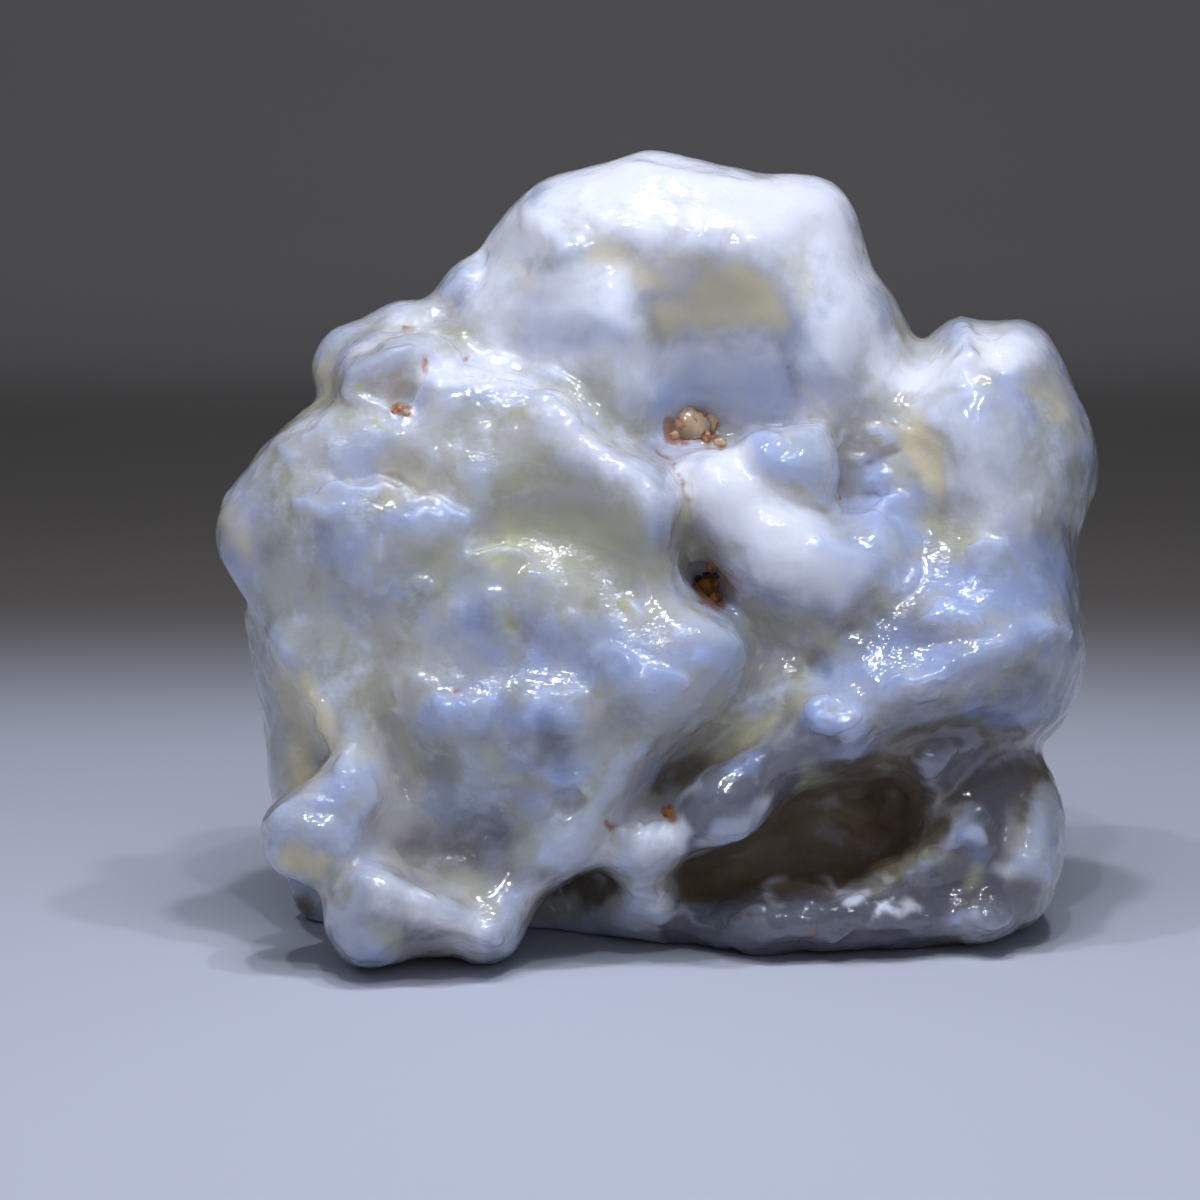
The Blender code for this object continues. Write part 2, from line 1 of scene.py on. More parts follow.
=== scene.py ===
# %% [markdown]
# # A gobi agate
#
# The stone is one lump of milky chalcedony, polished by wind-blown sand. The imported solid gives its
# masses. This script refines the skin of that solid, lays the small folds, ledges, beads and pits
# on it, sets a few honey-brown crystals into its pits, and gives it a translucent material.
# Its tables of forms, paint and crystals are in millimetres.

# %% Tools and frame
import math

import bmesh
import bpy
import numpy as np
from mathutils import Matrix, Vector, noise
from mathutils.bvhtree import BVHTree


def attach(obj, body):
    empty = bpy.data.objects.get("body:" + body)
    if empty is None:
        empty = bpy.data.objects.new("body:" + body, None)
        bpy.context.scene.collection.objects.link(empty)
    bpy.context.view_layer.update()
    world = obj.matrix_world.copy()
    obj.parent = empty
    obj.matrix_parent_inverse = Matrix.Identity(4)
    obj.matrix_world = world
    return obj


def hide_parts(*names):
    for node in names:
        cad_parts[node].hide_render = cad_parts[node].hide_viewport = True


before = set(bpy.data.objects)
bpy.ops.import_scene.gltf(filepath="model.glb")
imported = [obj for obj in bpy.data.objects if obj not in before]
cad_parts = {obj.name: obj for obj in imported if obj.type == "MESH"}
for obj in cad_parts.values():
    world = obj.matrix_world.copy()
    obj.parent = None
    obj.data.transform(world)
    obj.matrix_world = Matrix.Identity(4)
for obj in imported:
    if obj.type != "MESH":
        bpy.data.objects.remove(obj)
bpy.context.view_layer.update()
MM = 0.001

# %% [markdown]
# ## The view
#
# Every place on the front is named as the eye sees it: millimetres across to the right and up from
# the front foot, in a plane that faces the eye. The eye is 300 mm away and looks down by 10 degrees.
# `EYE_LINE` is the place it looks straight at, and at the depth `EYE_FOCUS` the view has true size.
# `STAND` is how far the solid was shifted when it was stood on the floor.

# %% From the row frame to the view and back
TILT = math.radians(10)
EYE_DISTANCE = 300
EYE_LINE = np.array((-4.2, 28.8))
EYE_FOCUS = 12
STAND = np.array((-0.628, -23.2545, 0.8))


def as_seen(points):
    """Points in metres as (across, up) and deep, in millimetres."""
    x, y, z = (points / MM - STAND).T
    deep = y * math.cos(TILT) - z * math.sin(TILT)
    up = y * math.sin(TILT) + z * math.cos(TILT)
    spread = 1 + (deep - EYE_FOCUS) / EYE_DISTANCE
    places = EYE_LINE + (np.column_stack((x, up)) - EYE_LINE) / spread[:, None]
    return places, deep


def in_row_frame(across, up, deep):
    """One place of the view, in metres."""
    spread = 1 + (deep - EYE_FOCUS) / EYE_DISTANCE
    x, up = EYE_LINE + (np.array((across, up)) - EYE_LINE) * spread
    y = deep * math.cos(TILT) + up * math.sin(TILT)
    z = up * math.cos(TILT) - deep * math.sin(TILT)
    return Vector((np.array((x, y, z)) + STAND) * MM)


eye = in_row_frame(*EYE_LINE, EYE_FOCUS - EYE_DISTANCE)
target = in_row_frame(*EYE_LINE, EYE_FOCUS)
print("eye at", [round(v, 3) for v in eye])

# %% [markdown]
# ## A finer skin
#
# The solid's triangles are about 2 mm across. One round of subdivision rounds them off, and a remesh
# then gives every part of the surface the same fine grain, so that small forms can be laid on it.

# %% Helpers for meshes
SKIN_GRAIN = 0.33
MOST_TRIANGLES = 190000
SKIN_ROUNDS, LAST_ROUNDS = 6, 1


def applied(obj):
    """Replaces the mesh of an object by what its modifiers make of it."""
    graph = bpy.context.evaluated_depsgraph_get()
    mesh = bpy.data.meshes.new_from_object(obj.evaluated_get(graph))
    obj.modifiers.clear()
    obj.data = mesh
    return obj


def soften(obj, rounds):
    """Draws each point halfway to its neighbours, that many times."""
    smooth = obj.modifiers.new("soften", "SMOOTH")
    smooth.factor = 0.5
    smooth.iterations = rounds
    return applied(obj)


def points_of(mesh):
    points = np.empty(len(mesh.vertices) * 3, np.float32)
    mesh.vertices.foreach_get("co", points)
    return points.reshape(-1, 3).astype(float)


def put_points(mesh, points):
    mesh.vertices.foreach_set("co", points.astype(np.float32).ravel())
    mesh.update()


def normals_of(mesh):
    normals = np.empty(len(mesh.vertices) * 3, np.float32)
    mesh.vertex_normals.foreach_get("vector", normals)
    return normals.reshape(-1, 3).astype(float)


# %% The skin
shape = bmesh.new()
shape.from_mesh(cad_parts["agate"].data)
bmesh.ops.remove_doubles(shape, verts=shape.verts, dist=0.00001)
skin = bpy.data.meshes.new("stone")
shape.to_mesh(skin)
shape.free()
stone = bpy.data.objects.new("stone", skin)
bpy.context.scene.collection.objects.link(stone)

rounding = stone.modifiers.new("rounding", "SUBSURF")
rounding.levels = 1
rounding.render_levels = 1
grain = stone.modifiers.new("grain", "REMESH")
grain.mode = "VOXEL"
grain.voxel_size = SKIN_GRAIN * MM
applied(stone)
soften(stone, SKIN_ROUNDS)
print("skin:", len(stone.data.vertices), "points")

# %% [markdown]
# ## Strokes
#
# Each stroke is a run of places in the view, the half breadth of the mark and how far it lifts the
# skin along its normal, in millimetres. A negative number presses it in. A run of one place is a
# bead or a pit. A stroke touches only skin that faces the eye, and soft noise shifts it by up to a
# millimetre, so that no mark is neat.

# %% How a stroke finds its place
TOWARDS_EYE = np.array((0, -math.cos(TILT), math.sin(TILT)))
# Each wander is a row of (size of a patch of noise, how far it shifts).
STROKE_WANDER = ((2.6, 0.7), (1.1, 0.3))
# How fast a stroke fades as the skin turns away, and how far from edge-on it ends.
FACING_SLOPE, FACING_LOSS = 1.8, 0.25
# Unless they are seeded, noise vectors start from the clock, and every run would wander elsewhere.
WANDER_SEED = 1795641324
noise.seed_set(WANDER_SEED)


def closeness(places, path, width):
    """The places within the width of the path, and for each a share that falls from 1 to 0."""
    path = np.array(path, float).reshape(-1, 2)
    low, high = path.min(axis=0) - width, path.max(axis=0) + width
    found = np.flatnonzero(((places > low) & (places < high)).all(axis=1))
    near = places[found]
    gap = np.linalg.norm(near - path[0], axis=1)
    for start, end in zip(path, path[1:]):
        run = end - start
        share = np.clip((near - start) @ run / (run @ run), 0, 1)
        gap = np.minimum(gap, np.linalg.norm(near - start - share[:, None] * run, axis=1))
    share = np.clip(1 - (gap / width) ** 2, 0, 1) ** 2
    return found[share > 0], share[share > 0]


def facing_eye(normals):
    """A share that is 1 on skin that faces the eye and falls to 0 where it turns away."""
    return np.clip(FACING_SLOPE * (normals @ TOWARDS_EYE) - FACING_LOSS, 0, 1)


def wandering(places, points, sizes):
    """The places of the points, each shifted by soft noise in patches of each size."""
    places = places.copy()
    for size, shift in sizes:
        scaled = points / (size * MM)
        turns = np.array([noise.noise_vector(Vector(p)) for p in scaled])
        places += shift * turns[:, (0, 2)]
    return places


def lay_strokes(mesh, strokes):
    """Lifts or presses the skin along every stroke at once."""
    points, normals = points_of(mesh), normals_of(mesh)
    places = wandering(as_seen(points)[0], points, STROKE_WANDER)
    facing = facing_eye(normals)
    lift = np.zeros(len(points))
    for path, width, rise in strokes:
        found, share = closeness(places, path, width)
        lift[found] += rise * share * facing[found]
    put_points(mesh, points + normals * lift[:, None] * MM)
    print(len(strokes), "strokes")


# %% The dome
DOME = (
    (((-6, 51.6), (0, 52.4), (9, 52.6)), 6, 1.1),
    (((-10, 59), (-8.8, 57.4), (-7.6, 56.4), (-6.6, 55.6)), 1.1, 0.3),
    (((-5.6, 59.6), (-5, 58.6), (-4.4, 58)), 0.8, 0.25),
    (((-2, 62), (1, 61.5), (4, 61), (8, 60.6)), 1.3, 0.3),
    (((-2.4, 57.2), (-1, 56.6), (0.4, 56.9)), 0.9, 0.25),
    (((0.8, 56), (2.6, 56.2), (4.6, 55.9), (6, 56.2)), 0.9, 0.25),
    (((6.6, 55.6), (8, 55.9), (9.4, 55.6)), 0.8, 0.25),
    (((1, 50.6), (4, 50.2), (7.4, 50.4), (9, 51.2)), 1, 0.15),
    (((12, 56.6), (11.5, 54), (11.8, 52), (11.2, 50), (11.4, 48.4)), 0.9, -0.15),
    (((10.4, 47.2), (10, 46.2), (10.6, 44.6)), 0.6, -0.25),
    (((-3.4, 50), (-2.6, 49.4)), 1, 0.35),
    (((-13, 55.4), (-13.4, 53.6), (-14.6, 51.8), (-15.8, 50.6)), 0.6, -0.3),
    (((-14.8, 53.6), (-15.6, 52)), 0.5, 0.25),
    (((-11, 52), (-8, 51.5), (-4, 51.8), (0, 51.5)), 0.8, -0.12),
    (((-9.8, 49.4), (-7.6, 49), (-5.2, 49.3)), 0.9, -0.15),
    (((-10.2, 54.4), (-10.2, 53.8)), 0.7, -0.25),
    (((12.4, 43), (11.6, 42.6), (12.8, 42.8)), 0.7, -0.3),
    (((18, 46), (18.6, 45.7)), 0.8, 0.3),
)

# %% The ears, the saddle ridge and the bowl
JUNCTION = (
    (((-20.4, 47.8), (-18.8, 48.6), (-17.6, 49.1), (-16.4, 48.8), (-15.6, 48)), 0.8, 0.45),
    (((-22.5, 48.9), (-21.5, 48.6), (-20.8, 48.3)), 0.4, 0.2),
    (((-24.4, 47), (-22.4, 48.2), (-19.4, 49.6), (-17.4, 50.4)), 0.6, -0.4),
    (((-21.6, 46.3), (-20.7, 45.9), (-20.2, 46.4)), 0.5, 0.25),
    (((-23.9, 45.1), (-22.6, 44.3), (-21.2, 43.5), (-19.8, 42.8), (-18.8, 42.9)), 0.7, 0.45),
    (((-18.8, 42.9), (-17.9, 43.8), (-17.4, 45.2), (-17, 46.4)), 0.7, 0.4),
    (((-19.8, 44.2), (-18.8, 44.2)), 1.2, -0.4),
)

# %% The curtain's rim, its plateau and the ledge
CURTAIN = (
    (((-16.4, 47.2), (-15.2, 47.6), (-14.6, 46.9), (-13.6, 46.6)), 0.7, 0.49),
    (((-15, 45.9), (-14.2, 45.3), (-12.8, 45), (-11, 45), (-9.6, 44.9), (-8.4, 44.4)), 0.7, 0.49),
    (((-8.4, 44.4), (-7.2, 43.7), (-6.2, 42.6)), 0.8, 0.42),
    (((-12.6, 47),), 0.7, 0.42),
    (((-11.7, 47.1),), 0.6, 0.49),
    (((-10.9, 46.6),), 0.6, 0.42),
    (((-7.4, 46.1), (-6.6, 45.6)), 0.6, 0.42),
    (((-8.8, 46.4), (-7.2, 46.1), (-5.8, 45), (-4.6, 43.2), (-3.4, 41.6), (-1.8, 40.6)), 0.9, 0.42),
    (((-13.4, 45.8), (-11, 45.8), (-8.6, 45.5), (-6.8, 44.8)), 0.5, -0.42),
    (((-10, 43),), 1.1, -0.35),
    (((-10.8, 43.2), (-10, 43.9), (-9.2, 43)), 0.4, 0.21),
    (((-13.4, 42.2), (-12.6, 42.3)), 0.7, 0.35),
    (((-13, 41.2),), 0.5, 0.28),
    (((-20.2, 41.4),), 0.6, 0.28),
    (((-29, 40.6), (-28.2, 40)), 0.9, 0.35),
    (((-2.6, 38.2), (-1.8, 38)), 0.7, 0.35),
    (((-27.6, 36.6), (-26.6, 36.3), (-25.6, 35.5)), 0.8, 0.56),
    (((-25.2, 37), (-24, 37.4), (-22.6, 37.3), (-21.4, 37.3), (-20.2, 37), (-19.2, 37.1)), 0.6, 0.56),
    (((-24.6, 38.2), (-22, 38.6), (-19.6, 38.2), (-18.4, 37.2)), 0.8, -0.42),
    (((-19.6, 36.6), (-18.2, 36), (-17, 36.2), (-16, 35.6), (-14.8, 35.4)), 0.8, 0.63),
    (((-18.4, 34.8), (-17.6, 35.2), (-16.8, 35)), 0.5, 0.42),
    (((-17.8, 38.4), (-17, 39.4), (-17.2, 40.2)), 0.5, 0.28),
    (((-21.4, 34), (-21.6, 33), (-21.2, 32)), 0.4, 0.35),
    (((-12, 37.6), (-8, 38.2), (-5, 37.6)), 1.2, -0.28),
)

# %% The low bulges of the curtain
BULGES = (
    (((-18.4, 30), (-17.6, 30.1)), 0.6, 0.49),
    (((-17.8, 29.4), (-17, 29.5)), 0.5, 0.42),
    (((-12.4, 29), (-11.6, 29)), 0.6, 0.42),
    (((-13.6, 32.2), (-12.2, 32.4), (-11, 32.2), (-10.4, 31.9)), 0.8, 0.63),
    (((-13.6, 33), (-12, 33.1)), 0.6, -0.42),
    (((-9.6, 30.8), (-8.6, 30.4), (-8, 30.1)), 0.6, 0.42),
    (((-6.8, 27.6), (-5.9, 27.3), (-5.5, 26.4)), 0.5, 0.49),
    (((-29.4, 26), (-28.8, 25), (-28.2, 24.4)), 0.8, 0.56),
    (((-26.6, 21.4), (-26, 21), (-25.5, 20.2), (-25, 19.2)), 0.7, 0.42),
    (((-18.2, 22.7), (-17.2, 22.5)), 0.7, 0.49),
    (((-21, 20.2), (-20, 20.1)), 0.5, 0.42),
    (((-20, 21.4), (-19.9, 22.6)), 0.5, 0.35),
    (((-17, 20.9), (-16, 20.4), (-15, 20.5), (-14.4, 20.1)), 0.9, 0.63),
    (((-13.6, 20.9), (-12.8, 20.7)), 0.7, 0.56),
    (((-8.2, 21.3), (-7.2, 21.6), (-6.2, 21.3)), 0.8, 0.56),
    (((-9.8, 19.2), (-9.2, 19)), 0.5, 0.35),
    (((-7.4, 18.4), (-6, 18.2)), 0.5, 0.35),
    (((-4.4, 24.6), (-3.4, 24.8), (-2.6, 24.2), (-1.8, 23.4)), 0.9, 0.63),
    (((0, 23.2), (1.2, 23), (2.2, 22.4)), 0.8, 0.56),
    (((3.4, 24), (4.2, 23.8)), 0.7, 0.49),
    (((-7.6, 14.9), (-6.6, 15.1), (-5.8, 15.4)), 0.6, 0.49),
    (((-6.7, 13.2),), 1.4, -0.63),
    (((-11.8, 14.8), (-11, 14.9)), 0.5, 0.35),
    (((-2.2, 28.6), (-1.6, 28.4), (-0.9, 27.6)), 0.6, 0.56),
    (((-15.2, 21.8),), 0.45, -0.7),
    (((-20.2, 15),), 0.5, 0.42),
    (((-19.6, 27), (-18.4, 24.6), (-18.6, 23.8)), 0.7, -0.35),
    (((-11, 27), (-10, 25.4), (-10.2, 23.6)), 0.8, -0.42),
    (((-1, 30.4), (-0.6, 29)), 0.6, -0.35),
)

# %% The two feet
FEET = (
    (((-24.2, 15.6), (-23.8, 16.4), (-23.4, 16.9)), 0.6, 0.45),
    (((-23.4, 16), (-22.8, 15.4)), 0.5, 0.3),
    (((-24.4, 14.4), (-23.4, 13.9)), 0.6, 0.35),
    (((-24.6, 13.2), (-24.2, 13.6)), 0.5, 0.3),
    (((-21.9, 15.6), (-21.5, 14.6), (-21.6, 13.4)), 0.6, 0.3),
    (((-29.6, 11.8), (-28.8, 13), (-27.2, 13.6), (-25.6, 13.3), (-23.4, 12)), 0.9, 0.35),
    (((-26.8, 11), (-25.4, 11.4)), 1.2, 0.3),
    (((-28.4, 9.4), (-27, 8.6)), 0.9, -0.35),
    (((-29.4, 9.6), (-28.6, 8), (-26.6, 7.2)), 0.8, 0.3),
    (((-23.4, 7.6), (-21.6, 8.1), (-19.6, 8), (-18.4, 7.2)), 0.9, 0.35),
    (((-18.2, 6.4), (-17, 5.6), (-15.6, 4.9), (-14.2, 4)), 0.9, 0.4),
    (((-22.2, 3.2), (-20.4, 2.8)), 1.2, -0.3),
    (((-14.4, 9.2), (-13.8, 8.8)), 0.5, 0.3),
    (((-12.8, 9.2), (-12.4, 8.9)), 0.5, 0.3),
    (((-13.6, 11.6), (-12, 11)), 1.2, -0.5),
)

# %% The fold, the pits beside it and the two lobes
FOLD = (
    (((1.2, 36.4), (1.5, 34.6), (1.3, 32.8), (1.5, 31.4), (1.8, 30.2), (2.6, 29.2)), 0.6, 0.5),
    (((2.9, 32.6),), 1.4, 0.9),
    (((5.6, 28.2), (6.6, 27.6), (7.4, 26.9)), 0.5, 0.4),
    (((7.8, 25.8), (8, 24.6)), 0.5, 0.3),
    (((2.4, 18.6), (3.6, 19.6), (5.2, 19.8)), 0.5, 0.4),
    (((-0.6, 41), (0.2, 41.2)), 0.9, 0.5),
    (((0.6, 40.7), (2, 40.9), (3.6, 41), (5.4, 40.6)), 0.6, 0.5),
    (((0.4, 40), (1.4, 39.2), (2.2, 38), (2.4, 37)), 0.5, -0.4),
    (((7, 41.4), (8, 41.7), (9, 41.6)), 0.7, 0.25),
    (((10.6, 42), (12, 42.1), (13, 41.5)), 0.7, 0.25),
    (((9.9, 41.4), (10.2, 40.4)), 0.6, -0.35),
    (((9.2, 34), (10.2, 34.2)), 0.9, 0.3),
    (((12.6, 33.2), (12.3, 32.5)), 0.7, 0.25),
    (((4.9, 39), (5, 38.6)), 0.6, 0.2),
    (((6, 33), (7.4, 30), (9.6, 27.6)), 1, -0.25),
)

# %% The stepped ledges and the tower
TOWER = (
    (((16.2, 41.6), (17.2, 41.9), (18, 41.6)), 0.5, 0.77),
    (((17.6, 40.9), (18.4, 41.1)), 0.5, 0.59),
    (((14.8, 39.8), (15.8, 40.3)), 0.5, 0.77),
    (((14.2, 41), (14.8, 41.6)), 0.4, 0.59),
    (((16.4, 38.1), (17.4, 38.5), (18, 38.3)), 0.5, 0.77),
    (((16, 37), (17.8, 37.3)), 0.5, -0.59),
    (((16, 39.6), (18.6, 40)), 0.5, -0.59),
    (((12.8, 36.2), (14, 36.5)), 0.5, 0.59),
    (((16.6, 35.4), (18, 36), (19.2, 36.3)), 0.6, 0.85),
    (((14.4, 36.8), (14.6, 37.6)), 0.4, -0.68),
    (((18.1, 31), (18.3, 29.8)), 0.4, 0.68),
    (((19.2, 30.2), (20, 30.8), (20.4, 31.4)), 0.5, 0.59),
    (((23.2, 50.2), (24, 49), (24.6, 47.8)), 0.7, 0.51),
    (((21.9, 46.8), (23, 46.9), (24.2, 47.4)), 0.8, 0.35),
    (((26.4, 47.8), (26.9, 48.8), (27.3, 49.4)), 0.7, 0.3),
    (((25.2, 45.2),), 0.5, -0.25),
    (((29, 36.6),), 0.5, 0.3),
    (((30.9, 36.6),), 0.4, 0.3),
    (((29.9, 35.6),), 0.4, 0.3),
    (((29.8, 40),), 0.4, 0.25),
    (((23, 38.4), (22.4, 41), (20, 42)), 0.7, -0.3),
    (((18.4, 42.6), (19.6, 42)), 0.5, -0.25),
)

# %% The flank that hangs over the base
FLANK = (
    (((24, 32.6), (25.2, 33), (26.4, 33)), 0.7, 0.61),
    (((20.6, 27), (21.4, 27.6), (22.2, 27.4)), 0.6, 0.68),
    (((22, 28.2), (23.2, 27.9)), 0.6, 0.54),
    (((24, 27.2), (25, 27)), 0.6, 0.47),
    (((29.2, 26.3), (30.6, 26.8), (31.8, 26.8)), 0.6, 0.68),
    (((25.6, 25.2), (26.8, 25.5), (27.4, 25.3)), 0.6, 0.54),
    (((19.8, 22.6), (21, 23), (22.2, 23.6), (23.2, 24)), 0.6, 0.68),
    (((18, 22), (19, 22.5)), 0.6, 0.61),
    (((20.4, 21.5), (21.8, 21.8)), 0.6, 0.54),
    (((19.4, 21.7), (21.4, 22.5), (23, 22.9)), 0.5, -0.41),
    (((12, 20.6), (13, 21.1), (13.8, 20.8)), 0.6, 0.54),
    (((12.6, 19.8), (14, 19.5), (15.2, 19.8)), 0.6, 0.61),
    (((12.4, 19.2), (13.6, 18.9)), 0.5, 0.41),
    (((13, 20.3), (14.8, 20.4)), 0.4, -0.41),
    (((2.5, 9), (6, 10.4), (8.6, 12.2), (10.4, 14), (13, 15.2), (16, 15.9)), 0.9, 0.41),
    (((20.8, 15.8), (22, 16.2), (23.4, 17.2)), 0.7, 0.54),
    (((7.2, 16.2),), 0.6, 0.47),
    (((7.9, 15.3),), 0.5, 0.47),
    (((4.8, 13.8),), 0.5, 0.41),
    (((11.2, 25), (12.2, 24), (13.4, 23.4)), 0.7, -0.54),
)

# %% The base and the crusted white lobe above it
BASE = (
    (((13.2, 7), (14.4, 6.6)), 0.8, 0.68),
    (((15.6, 6.2),), 0.8, 0.6),
    (((16.8, 5.6),), 0.7, 0.6),
    (((18, 5), (19, 5)), 0.7, 0.68),
    (((20.8, 8.7),), 1.1, 0.75),
    (((19.6, 7.4),), 0.8, 0.6),
    (((12, 5.2),), 0.8, 0.6),
    (((10.6, 6),), 0.7, 0.6),
    (((8.2, 5),), 0.9, 0.52),
    (((6.6, 4.2), (7.6, 4.4)), 0.8, 0.6),
    (((9.8, 3.2),), 1, 0.45),
    (((12.4, 3.8),), 0.8, 0.52),
    (((14, 3), (14.8, 3.4)), 0.7, 0.6),
    (((17, 3.6),), 0.9, 0.52),
    (((21, 4.2),), 0.7, 0.68),
    (((23.6, 4.4),), 1, 0.52),
    (((25.2, 4.6), (26.4, 4.2)), 0.8, 0.68),
    (((21.4, 9.4), (22.6, 9.7), (23.6, 10)), 0.6, 0.75),
    (((24.4, 12.8), (25.2, 12)), 0.9, 0.52),
    (((28.6, 9.2), (29.4, 9)), 0.8, 0.52),
    (((-1.6, 6.6), (-0.6, 6.3)), 0.7, 0.6),
    (((0.5, 6.5),), 0.6, 0.52),
    (((-2.6, 10.8),), 0.7, 0.52),
    (((-1.4, 11.4),), 0.7, 0.6),
    (((0, 11.2),), 0.7, 0.6),
    (((0.9, 10.2),), 0.6, 0.52),
    (((-0.6, 9.8),), 0.7, 0.45),
    (((14, 12.4), (16, 11), (17.8, 12), (17, 13.8), (15, 13.8)), 0.7, -0.9),
    (((9, 11.6), (10.4, 12.8)), 0.9, -0.9),
    (((5, 7.6), (6.4, 8.4)), 0.8, 0.9),
)

lay_strokes(stone.data, DOME + JUNCTION + CURTAIN + BULGES + FEET + FOLD + TOWER + FLANK + BASE)

# %% [markdown]
# ## Wind polish
#
# Between the drawn forms the skin is never quite even. Soft low swells 4 mm apart, ripples less than
# 2 mm apart and fine dents give the light something to break on. They stay below half a millimetre.
# The hollow and the lip of the base are rougher, and the dome and the ears are smoother.

# %% Swells, ripples and dents
# Their size and their height.
SWELL = (4.2, 0.22)
RIPPLE = (1.7, 0.15)
DENT = (0.8, 0.07)
ROUGHER_IN_HOLLOW = 1.5
SMOOTHER_ON_TOP = 0.5


def inside_hollow(points, normals):
    """A share that is 1 on the walls of the hollow over the base, which wind never polished."""
    places, deep = as_seen(points)
    within = ((places > (-1, 5.5)) & (places < (20.5, 16.5))).all(axis=1)
    return within * (normals @ TOWARDS_EYE > -0.3) * np.clip((deep - 10) / 4, 0, 1)


def uneven(mesh):
    """Adds the unevenness along the normals and keeps the foot level with the floor."""
    points, normals = points_of(mesh), normals_of(mesh)
    places, _ = as_seen(points)
    lip = np.clip((places[:, 0] + 2) / 4, 0, 1) * np.clip((9 - places[:, 1]) / 3, 0, 1)
    top = np.clip((places[:, 1] - 43) / 4, 0, 1)
    rough = 1 + ROUGHER_IN_HOLLOW * inside_hollow(points, normals) + lip - SMOOTHER_ON_TOP * top
    for size, height in (SWELL, RIPPLE, DENT):
        scaled = points / (size * MM)
        wave = np.array([noise.noise(Vector(p)) for p in scaled])
        points += normals * (wave * height * rough)[:, None] * MM
    points[:, 2] = np.maximum(points[:, 2], 0)
    put_points(mesh, points)


uneven(stone.data)
soften(stone, LAST_ROUNDS)
thin = stone.modifiers.new("thin", "DECIMATE")
thin.ratio = min(1, MOST_TRIANGLES / (2 * len(stone.data.polygons)))
applied(stone)
stone.data.shade_smooth()
print("stone:", len(stone.data.polygons), "faces")

# %% [markdown]
# ## Stains and tones
#
# Colour is painted on the points of the skin with the same kind of stroke, whose last number is now
# the strength of the paint. `olive` and `ochre` are where the stone is clear enough to look into,
# `milk_and_painted_light` is the densest white and on the dome's left also painted light, `blue` is a
# thin white over the dark inside, `violet_and_shade` is a grey-violet tone with painted shade on the
# low parts, `brown` is iron stain with painted shade on the undersides, `rust` is iron stain, and
# `sleek` is where no dent breaks the polish. `hollow_wall` and `hollow` are measured: the walls of the
# hollow over the base, and how far a point lies below the average of its neighbourhood, which the
# material turns into painted shade in hollows and painted light on crests.

# %% How colour is laid
PAINT_WANDER = ((6, 2), (2.2, 0.9))
PAINT_SLOPE = 3
HOLLOW_ROUNDS = 40


def paint(mesh, name, strokes, wander):
    """Stores the strongest stroke at each point as an attribute with that name."""
    points, normals = points_of(mesh), normals_of(mesh)
    places = wandering(as_seen(points)[0], points, wander)
    facing = np.clip(1 + PAINT_SLOPE * (normals @ TOWARDS_EYE), 0, 1)
    amount = np.zeros(len(points))
    for path, width, strength in strokes:
        found, share = closeness(places, path, width)
        amount[found] = np.maximum(amount[found], strength * share * facing[found])
    store(mesh, name, amount)


def store(mesh, name, amount):
    """Keeps one number for each point as an attribute that the material can read."""
    layer = mesh.attributes.new(name, "FLOAT", "POINT")
    layer.data.foreach_set("value", amount.astype(np.float32))


def paint_hollows(mesh, rounds):
    """Stores how deep each point lies under its surroundings, in millimetres, less than 0 on crests."""
    points, normals = points_of(mesh), normals_of(mesh)
    ends = np.empty(len(mesh.edges) * 2, np.int32)
    mesh.edges.foreach_get("vertices", ends)
    first, second = ends.reshape(-1, 2).T
    count = np.bincount(ends, minlength=len(points))[:, None]
    level = points.copy()
    for _ in range(rounds):
        total = np.zeros_like(level)
        for axis in range(3):
            total[:, axis] += np.bincount(first, level[second, axis], len(points))
            total[:, axis] += np.bincount(second, level[first, axis], len(points))
        level = total / count
    depth = ((level - points) * normals).sum(axis=1) / MM
    store(mesh, "hollow", depth)


# %% Where the colours are
OLIVE = (
    (((-20, 38.6), (-14, 39.4), (-9, 40)), 2.4, 0.35),
    (((-18, 32), (-12, 30.4), (-6, 30)), 3, 0.4),
    (((-11, 34.6), (-7, 34.8), (-3, 33.8)), 3.6, 0.9),
    (((-12, 38), (-8, 37.6)), 2.4, 0.45),
    (((-7, 32), (-3, 31.6), (0, 31)), 2.6, 0.6),
    (((-13.6, 32.6), (-12, 31.6)), 1.2, 0.7),
    (((-20.2, 41.4),), 1, 0.8),
    (((-10, 43),), 1, 0.6),
    (((-22.3, 45),), 0.7, 0.9),
    (((-11, 28), (-10.4, 27)), 1.6, 0.7),
    (((-6.8, 27.8),), 1, 0.7),
    (((-22, 29), (-21.6, 27)), 1.8, 0.35),
    (((-19.8, 22.2), (-19.6, 15.6)), 1.2, 0.4),
    (((-12, 17), (-11.4, 15)), 1.8, 0.5),
    (((-6, 19.2),), 1.2, 0.6),
    (((-26.4, 11.4), (-25, 11)), 2.4, 0.4),
    (((-21.6, 3.2), (-20.4, 3)), 1.6, 0.6),
    (((-0.8, 27.8), (-2, 28.4)), 1, 0.7),
    (((3, 36), (2.6, 34.6)), 0.9, 0.6),
    (((22, 35), (23.6, 34)), 2.4, 0.35),
    (((25.2, 45.2),), 0.6, 0.7),
    (((8, 27.4), (12, 26.6), (14, 24.4)), 2.4, 0.6),
    (((11.6, 16), (12.8, 15.8)), 1.4, 0.6),
    (((2, 18), (5, 18.4), (8, 19.4)), 1.8, 0.7),
    (((19, 8), (21, 8.8)), 1.6, 0.6),
    (((25.4, 8), (25, 6.4)), 1.3, 0.6),
    (((5.6, 48), (3, 45.6)), 2.4, 0.2),
)
